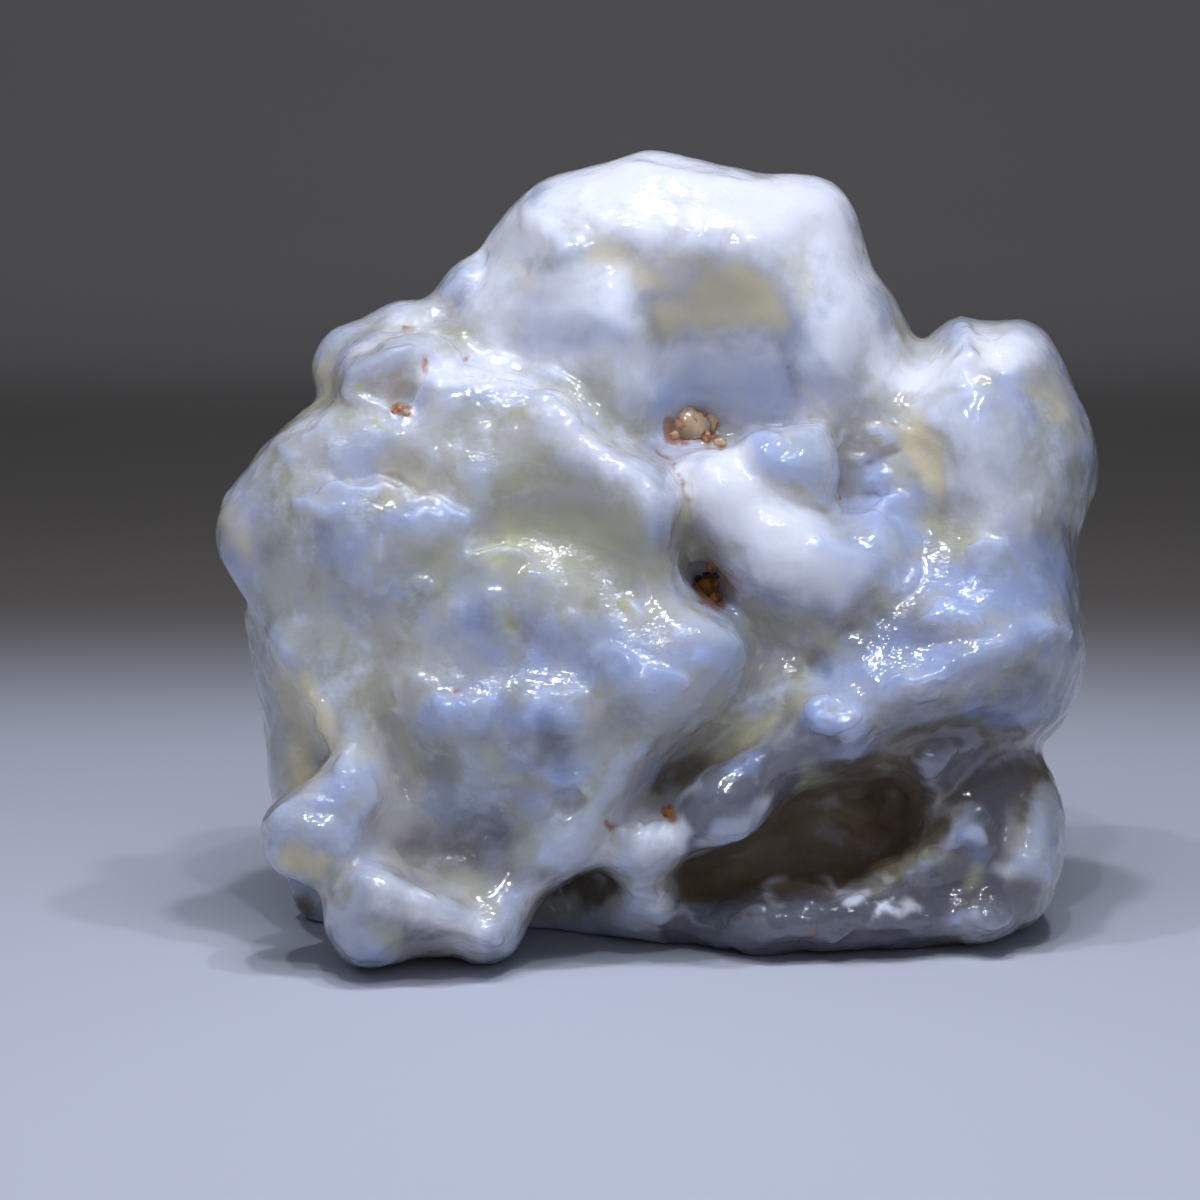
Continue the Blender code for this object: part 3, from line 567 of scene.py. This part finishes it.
OCHRE = (
    (((2.6, 52), (5, 51.4), (8, 52)), 3.8, 0.9),
    (((-2.8, 55), (1, 54.2)), 2.6, 0.7),
    (((-10.6, 54.4), (-9.6, 53)), 2, 0.35),
    (((11.6, 55), (11.8, 52)), 1.6, 0.3),
    (((19.8, 41), (21.8, 40), (22, 38.8)), 2, 0.8),
    (((-28.6, 43.4), (-26.4, 46)), 2.8, 0.6),
    (((-33.8, 36.6), (-33, 33)), 2.2, 0.5),
    (((29.6, 45), (30, 43.4)), 1.3, 0.5),
    (((-28, 9.4), (-26.6, 8.8)), 1.8, 0.8),
    (((-28.4, 22), (-27.6, 18), (-26.4, 15)), 2.6, 0.8),
)
RUST = (
    (((-19.8, 43.6), (-19, 43.3)), 0.8, 1),
    (((-19.4, 49.7), (-18.6, 49.6)), 0.45, 0.9),
    (((-17.6, 47.4), (-17.6, 46.4)), 0.45, 0.7),
    (((-14.5, 47.4),), 0.5, 0.7),
    (((1.2, 42.6), (1, 41.4), (2.2, 40.9)), 0.7, 1),
    (((4, 40.8), (4.8, 41.4), (5.2, 40.6)), 0.6, 0.8),
    (((0.4, 40.2), (1.2, 39.6), (1.8, 38.6), (2.3, 37), (2.6, 36.6)), 0.4, 0.6),
    (((3.4, 30), (4, 28.8), (5, 28.4)), 0.9, 0.9),
    (((1, 12.6), (1.4, 12)), 0.8, 0.9),
    (((-3.6, 11.8), (-3.2, 11.2)), 0.5, 0.7),
    (((7, 49.4), (8.6, 49)), 1.6, 0.12),
    (((14.4, 36.6),), 0.3, 0.9),
    (((17.2, 42.6), (18.8, 42.2)), 0.35, 0.5),
    (((12, 42.8),), 0.5, 0.6),
    (((10.2, 46.6),), 0.35, 0.5),
    (((12, 3.6), (12.2, 3)), 0.5, 0.6),
    (((6.6, 4.6), (8, 4.2)), 0.5, 0.4),
    (((17, 8.6), (18.4, 8)), 1, 0.5),
    (((-15.2, 21.8),), 0.4, 1),
    (((-13.5, 32.3),), 0.5, 0.6),
    (((-11, 8), (-19, 10)), 2.4, 0.1),
)
# The densest white. The first stroke also paints light onto the dome's left, which turns away from the
# lamps.
MILK_AND_PAINTED_LIGHT = (
    (((-14, 56), (-9, 57.4)), 4.4, 1),
    (((12, 57), (15, 54)), 3.6, 0.8),
    (((2, 50), (8, 49.4)), 2, 0.5),
    (((-12, 54), (-11, 51), (-4, 52), (-3, 49)), 5, 0.9),
    (((2, 56.6), (10, 56.4), (14, 51)), 4, 0.7),
    (((-9, 48.4), (-4, 47), (8, 47)), 4, 0.75),
    (((12, 48), (12.6, 45)), 3.4, 0.5),
    (((-14, 48), (-11, 46.6)), 3, 0.6),
    (((24, 41), (26, 37)), 3.4, 0.6),
    (((3, 46), (8, 45.6)), 3, 0.5),
    (((22, 42), (27, 41), (29, 36)), 4, 0.4),
    (((-26, 42), (-16, 42), (-12, 42)), 3, 0.3),
    (((-6, 61), (0, 61.8), (8, 60.4), (13, 59)), 4.5, 1),
    (((-10, 57), (-6, 58), (3, 58.6), (10, 58)), 3.6, 0.8),
    (((15, 55), (15.5, 50), (17, 47)), 4, 0.9),
    (((20, 45.4), (24, 47), (28, 48.4)), 3, 0.85),
    (((4, 38.6), (7, 36), (10, 33.5), (14, 31.4)), 4, 1),
    (((8, 33), (11, 31)), 3, 0.8),
    (((10, 40.6), (11.6, 39)), 2, 0.3),
    (((-8, 43), (-5, 41), (-2, 38.6), (-0.6, 35.4)), 2.8, 0.55),
    (((-17, 47.6), (-14, 46.4), (-10, 45.4)), 1.8, 0.7),
    (((-23, 48), (-19, 50)), 3, 0.45),
    (((-21, 6), (-17.6, 5.4), (-13.4, 3)), 2.4, 0.6),
    (((-1, 10.4), (1, 10.6)), 2, 0.8),
    (((-1, 6.2),), 1.6, 0.6),
    (((15, 5.8), (16.5, 6.4)), 0.9, 0.8),
    (((18.8, 7.3),), 0.9, 0.7),
    (((8.8, 5.8), (10, 6.8)), 1, 0.5),
    (((13.5, 6.9),), 0.9, 0.5),
    (((17.8, 4.2), (18.5, 4.8), (20.4, 4.6)), 0.9, 0.7),
    (((24.2, 11.2),), 1.7, 0.8),
    (((28.1, 11.9),), 1.6, 0.3),
    (((27.7, 8.1),), 2, 0.5),
    (((25.8, 3.5),), 1.4, 0.4),
    (((-15.2, 28.4),), 2.4, 0.35),
)
# Brown iron stain, and painted shade on the undersides of the flank, the feet and the base.
BROWN_STAIN_AND_SHADE = (
    (((4, 3.4), (12, 4), (20, 4.4), (28, 6)), 3.4, 0.6),
    (((24, 8), (27, 12), (28, 15)), 4, 0.6),
    (((16, 16.2), (21, 18), (27, 18.6), (31, 20)), 2.4, 0.6),
    (((22, 14), (27, 15.6), (29, 15)), 2.4, 0.7),
    (((0, 14), (4, 17), (8, 19)), 1.8, 0.6),
    (((-9, 5), (-5, 7)), 2, 0.8),
    (((-27.6, 5),), 2.4, 0.7),
    (((2, 3.4), (7, 2.6), (14, 1.6), (22, 2)), 2.4, 0.7),
    (((-19, 9.6), (-14, 9), (-9, 8)), 3, 0.35),
    (((-18, 1.6), (-14, 1.4)), 1.8, 0.4),
    (((12, 24), (13.4, 23)), 1.6, 0.5),
    (((18.4, 14.6), (20.4, 12.4), (20.6, 9.6)), 2.4, 0.8),
    (((12.6, 15.4), (16.6, 16.4), (20, 15.6)), 1.6, 0.8),
    (((3, 7.4), (6, 6.4), (9, 5.8)), 1.8, 0.8),
    (((24.6, 15), (28.4, 13.6)), 3, 0.8),
)

BLUE = (
    (((8.4, 39.6), (11.4, 39)), 3.6, 0.8),
    (((13, 33), (16, 31), (15, 35)), 3, 0.6),
    (((16, 38), (18, 36), (20, 34)), 3, 0.8),
    (((20, 30), (26, 29), (30, 31)), 4, 0.8),
    (((13, 22), (18, 24), (24, 25), (30, 26)), 3, 0.8),
    (((2, 45), (6, 44.4), (9, 45.4)), 4, 0.7),
    (((-9, 49.6), (-4, 48.4)), 2.4, 0.5),
    (((-8, 26), (-3, 24.6), (1, 23), (4, 24.4)), 3.4, 0.8),
    (((-17, 20.4), (-12, 20.4), (-7, 20.6)), 3, 0.7),
    (((-20, 36.4), (-15, 34.6)), 2.4, 0.6),
    (((-14, 27), (-10, 24)), 3.4, 0.5),
    (((-8, 14), (-6, 16)), 2.4, 0.7),
    (((5.6, 16), (8, 16.4)), 1.4, 0.5),
    (((12, 19.6), (15, 19.8)), 2, 0.7),
    (((-25, 12), (-23, 14.6)), 2.4, 0.5),
    (((23.6, 11), (25, 9.6)), 2, 0.7),
    (((30, 20.4), (24, 20.6)), 2, 0.5),
)
# A grey-violet tone with painted shade on the low parts: the lip and column of the base, the flank's
# underside and the lower bulges of the curtain.
VIOLET_AND_SHADE = (
    (((5.4, 15.4), (8.4, 16.4)), 2.6, 1),
    (((20, 5.4), (23, 6.6), (26.4, 6.6)), 3, 0.8),
    (((-16, 21), (-11, 18)), 3, 0.35),
    (((12, 27.4), (16, 27)), 2.4, 0.4),
    (((4, 3.4), (12, 3), (20, 3.8)), 3.8, 1),
    (((2, 6), (8, 5.4), (16, 5.2)), 2.4, 0.9),
    (((22, 5), (25, 8), (26, 13)), 4, 0.8),
    (((25.8, 3.6), (28, 5)), 2.6, 0.5),
    (((21.5, 16), (24, 17)), 3, 0.6),
    (((14, 24.6), (18.8, 25.8), (24, 25)), 3.8, 0.4),
    (((9, 17.6), (12, 18.4)), 3, 0.5),
    (((18, 20), (24, 20.6), (30, 21.6)), 3.2, 0.5),
    (((3, 11.6), (5.5, 13.4), (8, 14.6), (12, 16.4)), 2.8, 1),
    (((-12, 20), (-6, 18), (-2, 20)), 3, 0.35),
    (((-6, 26), (-2, 24)), 2.6, 0.3),
    (((24, 14), (27, 16)), 3, 0.4),
    (((-17, 9.6), (-12, 10)), 4, 0.4),
    (((-7.4, 19.6), (-8, 16)), 2.8, 0.7),
    (((-14, 27.4),), 3.4, 0.5),
    (((-31, 36.6), (-30, 33)), 3, 0.35),
    (((-21, 4.4), (-18, 4)), 3, 0.45),
)
SLEEK = (
    (((-8, 57), (0, 57), (10, 56)), 7, 1),
    (((-10, 51), (0, 51), (12, 51)), 7, 1),
    (((-6, 45), (4, 46.5), (15, 47)), 5, 1),
    (((19, 45), (25, 43), (26, 38)), 5, 0.9),
    (((8, 39), (11, 39)), 3.4, 0.8),
    (((4, 37), (8, 34), (14, 31)), 4.4, 0.9),
    (((-10, 39), (-5, 37), (-3, 33)), 5, 0.5),
    (((-24, 5), (-18, 6)), 4, 0.6),
)
for name, strokes in (
    ("olive", OLIVE), ("ochre", OCHRE), ("milk_and_painted_light", MILK_AND_PAINTED_LIGHT), ("brown", BROWN_STAIN_AND_SHADE), ("blue", BLUE),
    ("violet_and_shade", VIOLET_AND_SHADE), ("sleek", SLEEK),
):
    paint(stone.data, name, strokes, PAINT_WANDER)
paint(stone.data, "rust", RUST, STROKE_WANDER[1:])
store(stone.data, "hollow_wall", inside_hollow(points_of(stone.data), normals_of(stone.data)))
paint_hollows(stone.data, HOLLOW_ROUNDS)
print("painted:", [layer.name for layer in stone.data.attributes if layer.data_type == "FLOAT"])

# %% [markdown]
# ## The stone's material
#
# Milky chalcedony lets light in and scatters it a few millimetres deep, so its edges glow and its
# shadows stay soft. Where it is dense it is white, where it is clear it turns blue, grey, olive or
# ochre. The wind polish on top looks wet, and fine dents break each highlight into glints.

# %% Helpers for materials
def linear(hex_code):
    """An sRGB hex colour as the linear colour that a shader takes."""
    parts = [int(hex_code[i : i + 2], 16) / 255 for i in (1, 3, 5)]
    return [p / 12.92 if p <= 0.04045 else ((p + 0.055) / 1.055) ** 2.4 for p in parts] + [1]


def add_node(tree, kind, links=(), inputs=(), **settings):
    """Adds a node, sets its settings and constant inputs, and links outputs of others into it."""
    node = tree.nodes.new(kind)
    for key, value in settings.items():
        setattr(node, key, value)
    for key, value in dict(inputs).items():
        node.inputs[key].default_value = value
    for key, source in dict(links).items():
        tree.links.new(source, node.inputs[key])
    return node


def set_constants(shader, values):
    """Numbers that are the same all over a surface, on the shader's own sockets."""
    for key, value in values.items():
        shader.inputs[key].default_value = value


def new_material(name):
    """A material with its node tree, its object coordinates and its shader."""
    material = bpy.data.materials.new(name)
    material.use_nodes = True
    tree = material.node_tree
    coords = add_node(tree, "ShaderNodeTexCoord").outputs["Object"]
    return material, tree, coords, tree.nodes["Principled BSDF"]


# %% The tones of milky chalcedony
GROUND_TONE = "#b2b2ae"
# Each tone: the paint it follows, or None for clouds all through the stone, the size in millimetres
# of the noise that frays it, where it begins and ends, its share and its colour.
TONES = (
    (None, 8, 0.46, 0.62, 0.65, "#8f9cc0"),
    (None, 4.5, 0.49, 0.62, 0.65, "#9c9c84"),
    (None, 3, 0.5, 0.7, 0.6, "#ccd2e0"),
    # Painted shade in grey-brown where a point lies in a hollow, then painted light in pale blue on
    # crests.
    ("hollow", 3, 0.05, 0.6, 0.3, "#8d877f"),
    ("hollow", 3, -0.05, -0.45, 0.5, "#b4c0de"),
    # Brown iron stain, and painted shade on the undersides.
    ("brown", 3, 0.1, 0.7, 0.95, "#655a4b"),
    # A grey-violet tone with painted shade on the low parts.
    ("violet_and_shade", 4.5, 0, 0.8, 0.95, "#62636e"),
    # Brown on the walls of the hollow over the base.
    ("hollow_wall", 3, 0, 1, 1, "#6b5d4a"),
    # The densest white, which on the dome's left is also painted light.
    ("milk_and_painted_light", 3, 0, 0.9, 0.9, "#e4e7f0"),
    ("olive", 4.5, 0, 0.9, 0.8, "#b4b596"),
    ("ochre", 4.5, 0, 0.9, 0.9, "#d6cba8"),
    ("blue", 3, 0, 0.9, 0.55, "#93a8d8"),
    ("rust", 0.6, 0.1, 0.8, 0.8, "#8a5526"),
)

# %% Milky chalcedony
# Each tone lies over the ones before it. Paint is frayed by noise, so its edges fade into the stone.
chalcedony, tree, coords, shader = new_material("milky_chalcedony")
colour = add_node(tree, "ShaderNodeRGB").outputs["Color"]
colour.default_value = linear(GROUND_TONE)
noises = {}
for size in sorted({tone[1] for tone in TONES}):
    settings = {"Scale": 1 / (size * MM), "Detail": 4, "Roughness": 0.6}
    noises[size] = add_node(tree, "ShaderNodeTexNoise", {"Vector": coords}, settings).outputs["Fac"]
for painted, size, begins, ends, share, hex_code in TONES:
    value = noises[size]
    if painted:
        layer = add_node(tree, "ShaderNodeAttribute", attribute_name=painted).outputs["Fac"]
        twice = add_node(tree, "ShaderNodeMath", {0: value}, {1: 2}, operation="MULTIPLY").outputs[0]
        value = add_node(tree, "ShaderNodeMath", {0: layer, 1: twice}, operation="MULTIPLY").outputs[0]
    amount = add_node(
        tree, "ShaderNodeMapRange", {"Value": value},
        {"From Min": begins, "From Max": ends, "To Max": share}, interpolation_type="SMOOTHSTEP",
    )
    mix = add_node(
        tree, "ShaderNodeMix", {"Factor": amount.outputs["Result"], "A": colour}, data_type="RGBA"
    )
    mix.inputs["B"].default_value = linear(hex_code)
    colour = mix.outputs["Result"]
tree.links.new(colour, shader.inputs["Base Color"])
print("milky chalcedony:", len(TONES), "tones")

# %% Its polish and its fine dents
# The deep, nearly white scattering gives the milky glow. The clear coat is smooth and looks wet, and
# the dents under it break the highlights of the stone itself into glints.
POLISH = {
    "Subsurface Weight": 1, "Subsurface Radius": (1.2, 1, 0.85), "Subsurface Scale": 0.0035,
    "IOR": 1.54, "Coat Roughness": 0.05,
}
DENT_SPACING, DENT_HEIGHT = 0.8, 0.22
# Roughness where the polish is best and where it is worn, and what the walls of the hollow add to it.
BEST_POLISH, WORN_POLISH, HOLLOW_WALL_DULLS = 0.1, 0.22, 0.5
COAT = 0.8
shader.subsurface_method = "BURLEY"
set_constants(shader, POLISH)
gloss = add_node(
    tree, "ShaderNodeMapRange", {"Value": noises[3]},
    {"From Min": 0.35, "From Max": 0.7, "To Min": BEST_POLISH, "To Max": WORN_POLISH},
)
hollow_wall = add_node(tree, "ShaderNodeAttribute", attribute_name="hollow_wall").outputs["Fac"]
dull = add_node(
    tree, "ShaderNodeMath", {0: hollow_wall, 2: gloss.outputs["Result"]}, {1: HOLLOW_WALL_DULLS},
    operation="MULTIPLY_ADD",
)
tree.links.new(dull.outputs[0], shader.inputs["Roughness"])
coat = add_node(tree, "ShaderNodeMath", {1: hollow_wall}, {0: COAT}, operation="SUBTRACT", use_clamp=True)
tree.links.new(coat.outputs[0], shader.inputs["Coat Weight"])
sleek = add_node(tree, "ShaderNodeAttribute", attribute_name="sleek").outputs["Fac"]
patchy = add_node(
    tree, "ShaderNodeMapRange", {"Value": noises[3]},
    {"From Min": 0.4, "From Max": 0.6, "To Min": 0.25, "To Max": 1},
)
strength = add_node(
    tree, "ShaderNodeMapRange", {"Value": sleek, "To Min": patchy.outputs["Result"]}, {"To Max": 0.1}
)
# Wind draws the dents out sideways, to half as long again as they are high.
drawn = add_node(
    tree, "ShaderNodeVectorMath", {0: coords}, {1: (0.65, 1, 1)}, operation="MULTIPLY"
)
dents = add_node(
    tree, "ShaderNodeTexNoise", {"Vector": drawn.outputs["Vector"]},
    {"Scale": 1 / (DENT_SPACING * MM), "Detail": 2, "Roughness": 0.6},
)
dented = add_node(
    tree, "ShaderNodeBump",
    {"Height": dents.outputs["Fac"], "Strength": strength.outputs["Result"]},
    {"Distance": DENT_HEIGHT * MM},
)
tree.links.new(dented.outputs["Normal"], shader.inputs["Normal"])
stone.data.materials.clear()
stone.data.materials.append(chalcedony)

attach(stone, "root")
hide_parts("agate")
print("dents:", DENT_SPACING, "mm apart")

# %% [markdown]
# ## Crystals in the pits
#
# Honey beads sit in the pit below the dome and in the bowl between the ears, amber crystals with a
# dark cap in the fold, and a small one in the cleft. Each is a small dented lump set into the skin
# where the eye sees it.

# %% Where the skin is
stone_tree = BVHTree.FromObject(stone, bpy.context.evaluated_depsgraph_get())


def skin_at(across, up):
    """The point of the skin that the eye sees at that place, and the normal there."""
    sight = (in_row_frame(across, up, EYE_FOCUS) - eye).normalized()
    point, normal, _, _ = stone_tree.ray_cast(eye, sight)
    return point, normal


# How broad a facet is, as a share of the lump's radius.
FACET_SHARE = 0.7


def crystals(name, lumps, material, detail=2, dent=0.18):
    """Lumps (across, up, radius, height share, sink), each dented into facets, as one object."""
    shape = bmesh.new()
    for across, up, radius, tall, sink in lumps:
        point, normal = skin_at(across, up)
        centre = point - normal * sink * radius * MM
        size = radius * MM
        place = Matrix.Translation(centre) @ Matrix.Diagonal((size, size, size * tall, 1))
        made = bmesh.ops.create_icosphere(shape, subdivisions=detail, radius=1, matrix=place)
        for vertex in made["verts"]:
            offset = vertex.co - centre
            push = noise.noise(vertex.co / (FACET_SHARE * radius * MM))
            vertex.co = centre + offset * (1 + dent * push)
    mesh = bpy.data.meshes.new(name)
    shape.to_mesh(mesh)
    shape.free()
    mesh.shade_smooth()
    mesh.materials.append(material)
    obj = bpy.data.objects.new(name, mesh)
    bpy.context.scene.collection.objects.link(obj)
    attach(obj, "root")
    print(name, len(lumps), "lumps")


QUARTZ = {
    "Subsurface Weight": 1, "Subsurface Radius": (1, 0.7, 0.5), "Subsurface Scale": 0.0008,
    "Roughness": 0.1, "IOR": 1.54, "Transmission Weight": 0.45,
}


def crystal_material(name, body, stain, size_mm):
    """Half-clear quartz grains: a body colour that rusts in patches of that size."""
    material, tree, coords, shader = new_material(name)
    patches = add_node(
        tree, "ShaderNodeTexNoise", {"Vector": coords}, {"Scale": 1 / (size_mm * MM), "Detail": 3}
    )
    share = add_node(
        tree, "ShaderNodeMapRange", {"Value": patches.outputs["Fac"]}, {"From Min": 0.5, "From Max": 0.62}
    )
    mix = add_node(tree, "ShaderNodeMix", {"Factor": share.outputs["Result"]}, data_type="RGBA")
    mix.inputs["A"].default_value = linear(body)
    mix.inputs["B"].default_value = linear(stain)
    tree.links.new(mix.outputs["Result"], shader.inputs["Base Color"])
    set_constants(shader, QUARTZ)
    return material


# %% The crystals
# Honey is pale, amber is deeper, and plum is nearly black with red-brown patches of iron.
honey = crystal_material("honey_quartz", "#dcc2a2", "#c4703c", 0.9)
amber = crystal_material("amber_quartz", "#d08a3a", "#8a5424", 0.7)
plum = crystal_material("dark_iron_crust", "#3c2430", "#6a3a2a", 0.6)

HONEY_BEADS = (
    (2.7, 42.1, 1.6, 1, 0.1), (4.2, 42.3, 0.75, 1.2, 0.1), (3.9, 41.3, 0.5, 1, 0),
    (1.5, 41.4, 0.45, 1, 0.1), (5, 40.9, 0.5, 0.9, 0.1), (-19.6, 43.5, 0.4, 1, 0.1),
    (-19.1, 43.2, 0.3, 1, 0.1), (-20, 43.3, 0.3, 1, 0.1),
)
AMBER_CRYSTALS = (
    (4, 29.7, 0.75, 1.2, 0), (4.7, 28.9, 0.6, 1, 0), (4.3, 31.4, 0.35, 1.3, 0),
    (4.7, 30.2, 0.5, 1, 0), (1.1, 12.4, 0.5, 1, 0.1),
)
DARK_CAP = ((3.4, 30.4, 0.42, 0.7, 0), (4.1, 30.8, 0.42, 0.7, -0.1), (4.8, 30.7, 0.38, 0.7, 0))
crystals("honey_beads", HONEY_BEADS, honey, detail=3, dent=0.25)
crystals("amber_crystals", AMBER_CRYSTALS, amber, dent=0.3)
crystals("dark_cap", DARK_CAP, plum, dent=0.3)

# %% [markdown]
# ## Studio
#
# A plain pale floor runs up behind the stone into a plain grey backdrop. One soft lamp hangs above
# and a little before the stone, which lights every top and leaves the undersides to the floor's
# bounce. Two more soft lamps lighten the left side and the front. Four tiny lamps are there for the
# glints: the soft ones show in no highlight, because a broad white highlight would hide the stone.

# %% Floor and backdrop
WALL_BEHIND = 0.38
COVE = 0.03
FLOOR_BEFORE, SWEEP_LENGTH = 0.7, 1.6
PALE = "#bcc0cb"
# Where each tone begins and ends, in metres behind and above the stone, and its colour: a dark backdrop
# tone with painted shade where the floor falls away from the lamps, then a lighter tone painted on the
# far wall to make up for the lamps' falloff.
BACKDROP_TONE_SHADE_AND_LIGHT = ((0.06, 0.15, "#7c7772"), (0.2, 0.45, "#9d9893"))

# Matt paper, pale at the stone and darker behind it, so that the milky outline stands out. The darkening
# is partly the backdrop's own tone and partly painted shade, and the far wall is painted lighter as
# painted light.
paper, tree, coords, shader = new_material("pale_paper")
place = add_node(tree, "ShaderNodeSeparateXYZ", {"Vector": coords}).outputs
far = add_node(tree, "ShaderNodeMath", {0: place["Y"], 1: place["Z"]}, operation="ADD").outputs[0]
colour = add_node(tree, "ShaderNodeRGB").outputs["Color"]
colour.default_value = linear(PALE)
for begins, ends, hex_code in BACKDROP_TONE_SHADE_AND_LIGHT:
    shade = add_node(
        tree, "ShaderNodeMapRange", {"Value": far}, {"From Min": begins, "From Max": ends},
        interpolation_type="SMOOTHSTEP",
    ).outputs["Result"]
    mix = add_node(tree, "ShaderNodeMix", {"Factor": shade, "A": colour}, data_type="RGBA")
    mix.inputs["B"].default_value = linear(hex_code)
    colour = mix.outputs["Result"]
tree.links.new(colour, shader.inputs["Base Color"])
set_constants(shader, {"Roughness": 0.95, "Specular IOR Level": 0.1})

shape = bmesh.new()
bmesh.ops.create_grid(shape, x_segments=1, y_segments=60, size=1)
for vertex in shape.verts:
    along = (vertex.co.y + 1) / 2 * SWEEP_LENGTH
    flat = FLOOR_BEFORE + WALL_BEHIND - COVE
    turn = min(max(along - flat, 0) / COVE, math.pi / 2)
    rest = max(along - flat - COVE * math.pi / 2, 0)
    vertex.co.y = min(along, flat) - FLOOR_BEFORE + COVE * math.sin(turn)
    vertex.co.z = COVE * (1 - math.cos(turn)) + rest
sweep_mesh = bpy.data.meshes.new("paper_sweep")
shape.to_mesh(sweep_mesh)
shape.free()
sweep_mesh.materials.append(paper)
sweep_mesh.shade_smooth()
sweep = bpy.data.objects.new("paper_sweep", sweep_mesh)
bpy.context.scene.collection.objects.link(sweep)
print("backdrop:", WALL_BEHIND, "m behind")

# %% Lights
LAMP_COLOUR, ROOM_COLOUR, ROOM_STRENGTH = "#eef2ff", "#a2a8b6", 0.17
# Each lamp: its name, its place in metres, its power in watts and its breadth.
for name, place, power, size in (
    ("overhead", (0.01, -0.08, 0.22), 0.18, 0.12),
    ("left_fill", (-0.16, -0.08, 0.2), 0.05, 0.12),
    ("glint_left", (-0.07, -0.07, 0.24), 0.09, 0.008),
    ("glint_above", (0, -0.05, 0.25), 0.14, 0.014),
    ("glint_right", (0.06, -0.06, 0.24), 0.09, 0.01),
    ("glint_before", (0, -0.14, 0.24), 0.08, 0.007),
    ("front_fill", (0.12, -0.35, 0.14), 0.14, 0.3),
):
    lamp = bpy.data.lights.new(name, "AREA")
    lamp.energy = power
    lamp.size = size
    lamp.color = linear(LAMP_COLOUR)[:3]
    light = bpy.data.objects.new(name, lamp)
    bpy.context.scene.collection.objects.link(light)
    light.location = place
    light.visible_glossy = name.startswith("glint")
    light.rotation_euler = (target - light.location).to_track_quat("-Z", "Y").to_euler()
world = bpy.data.worlds.new("room")
world.use_nodes = True
world.node_tree.nodes["Background"].inputs["Color"].default_value = linear(ROOM_COLOUR)
world.node_tree.nodes["Background"].inputs["Strength"].default_value = ROOM_STRENGTH
bpy.context.scene.world = world
bpy.context.scene.view_settings.view_transform = "Standard"

# %% Camera
# Half the breadth, in millimetres, that the frame shows at the distance of the stone.
FRAME_PIXELS, PIXELS_PER_MM = 1200, 13
HALF_FRAME = FRAME_PIXELS / PIXELS_PER_MM / 2
camera = bpy.data.objects.new("camera", bpy.data.cameras.new("camera"))
bpy.context.scene.collection.objects.link(camera)
camera.location = eye
camera.rotation_euler = (target - eye).to_track_quat("-Z", "Y").to_euler()
camera.data.lens = camera.data.sensor_width / 2 * EYE_DISTANCE / HALF_FRAME
camera.data.clip_start = 0.01
bpy.context.scene.camera = camera
print("lens:", round(camera.data.lens, 1), "mm")
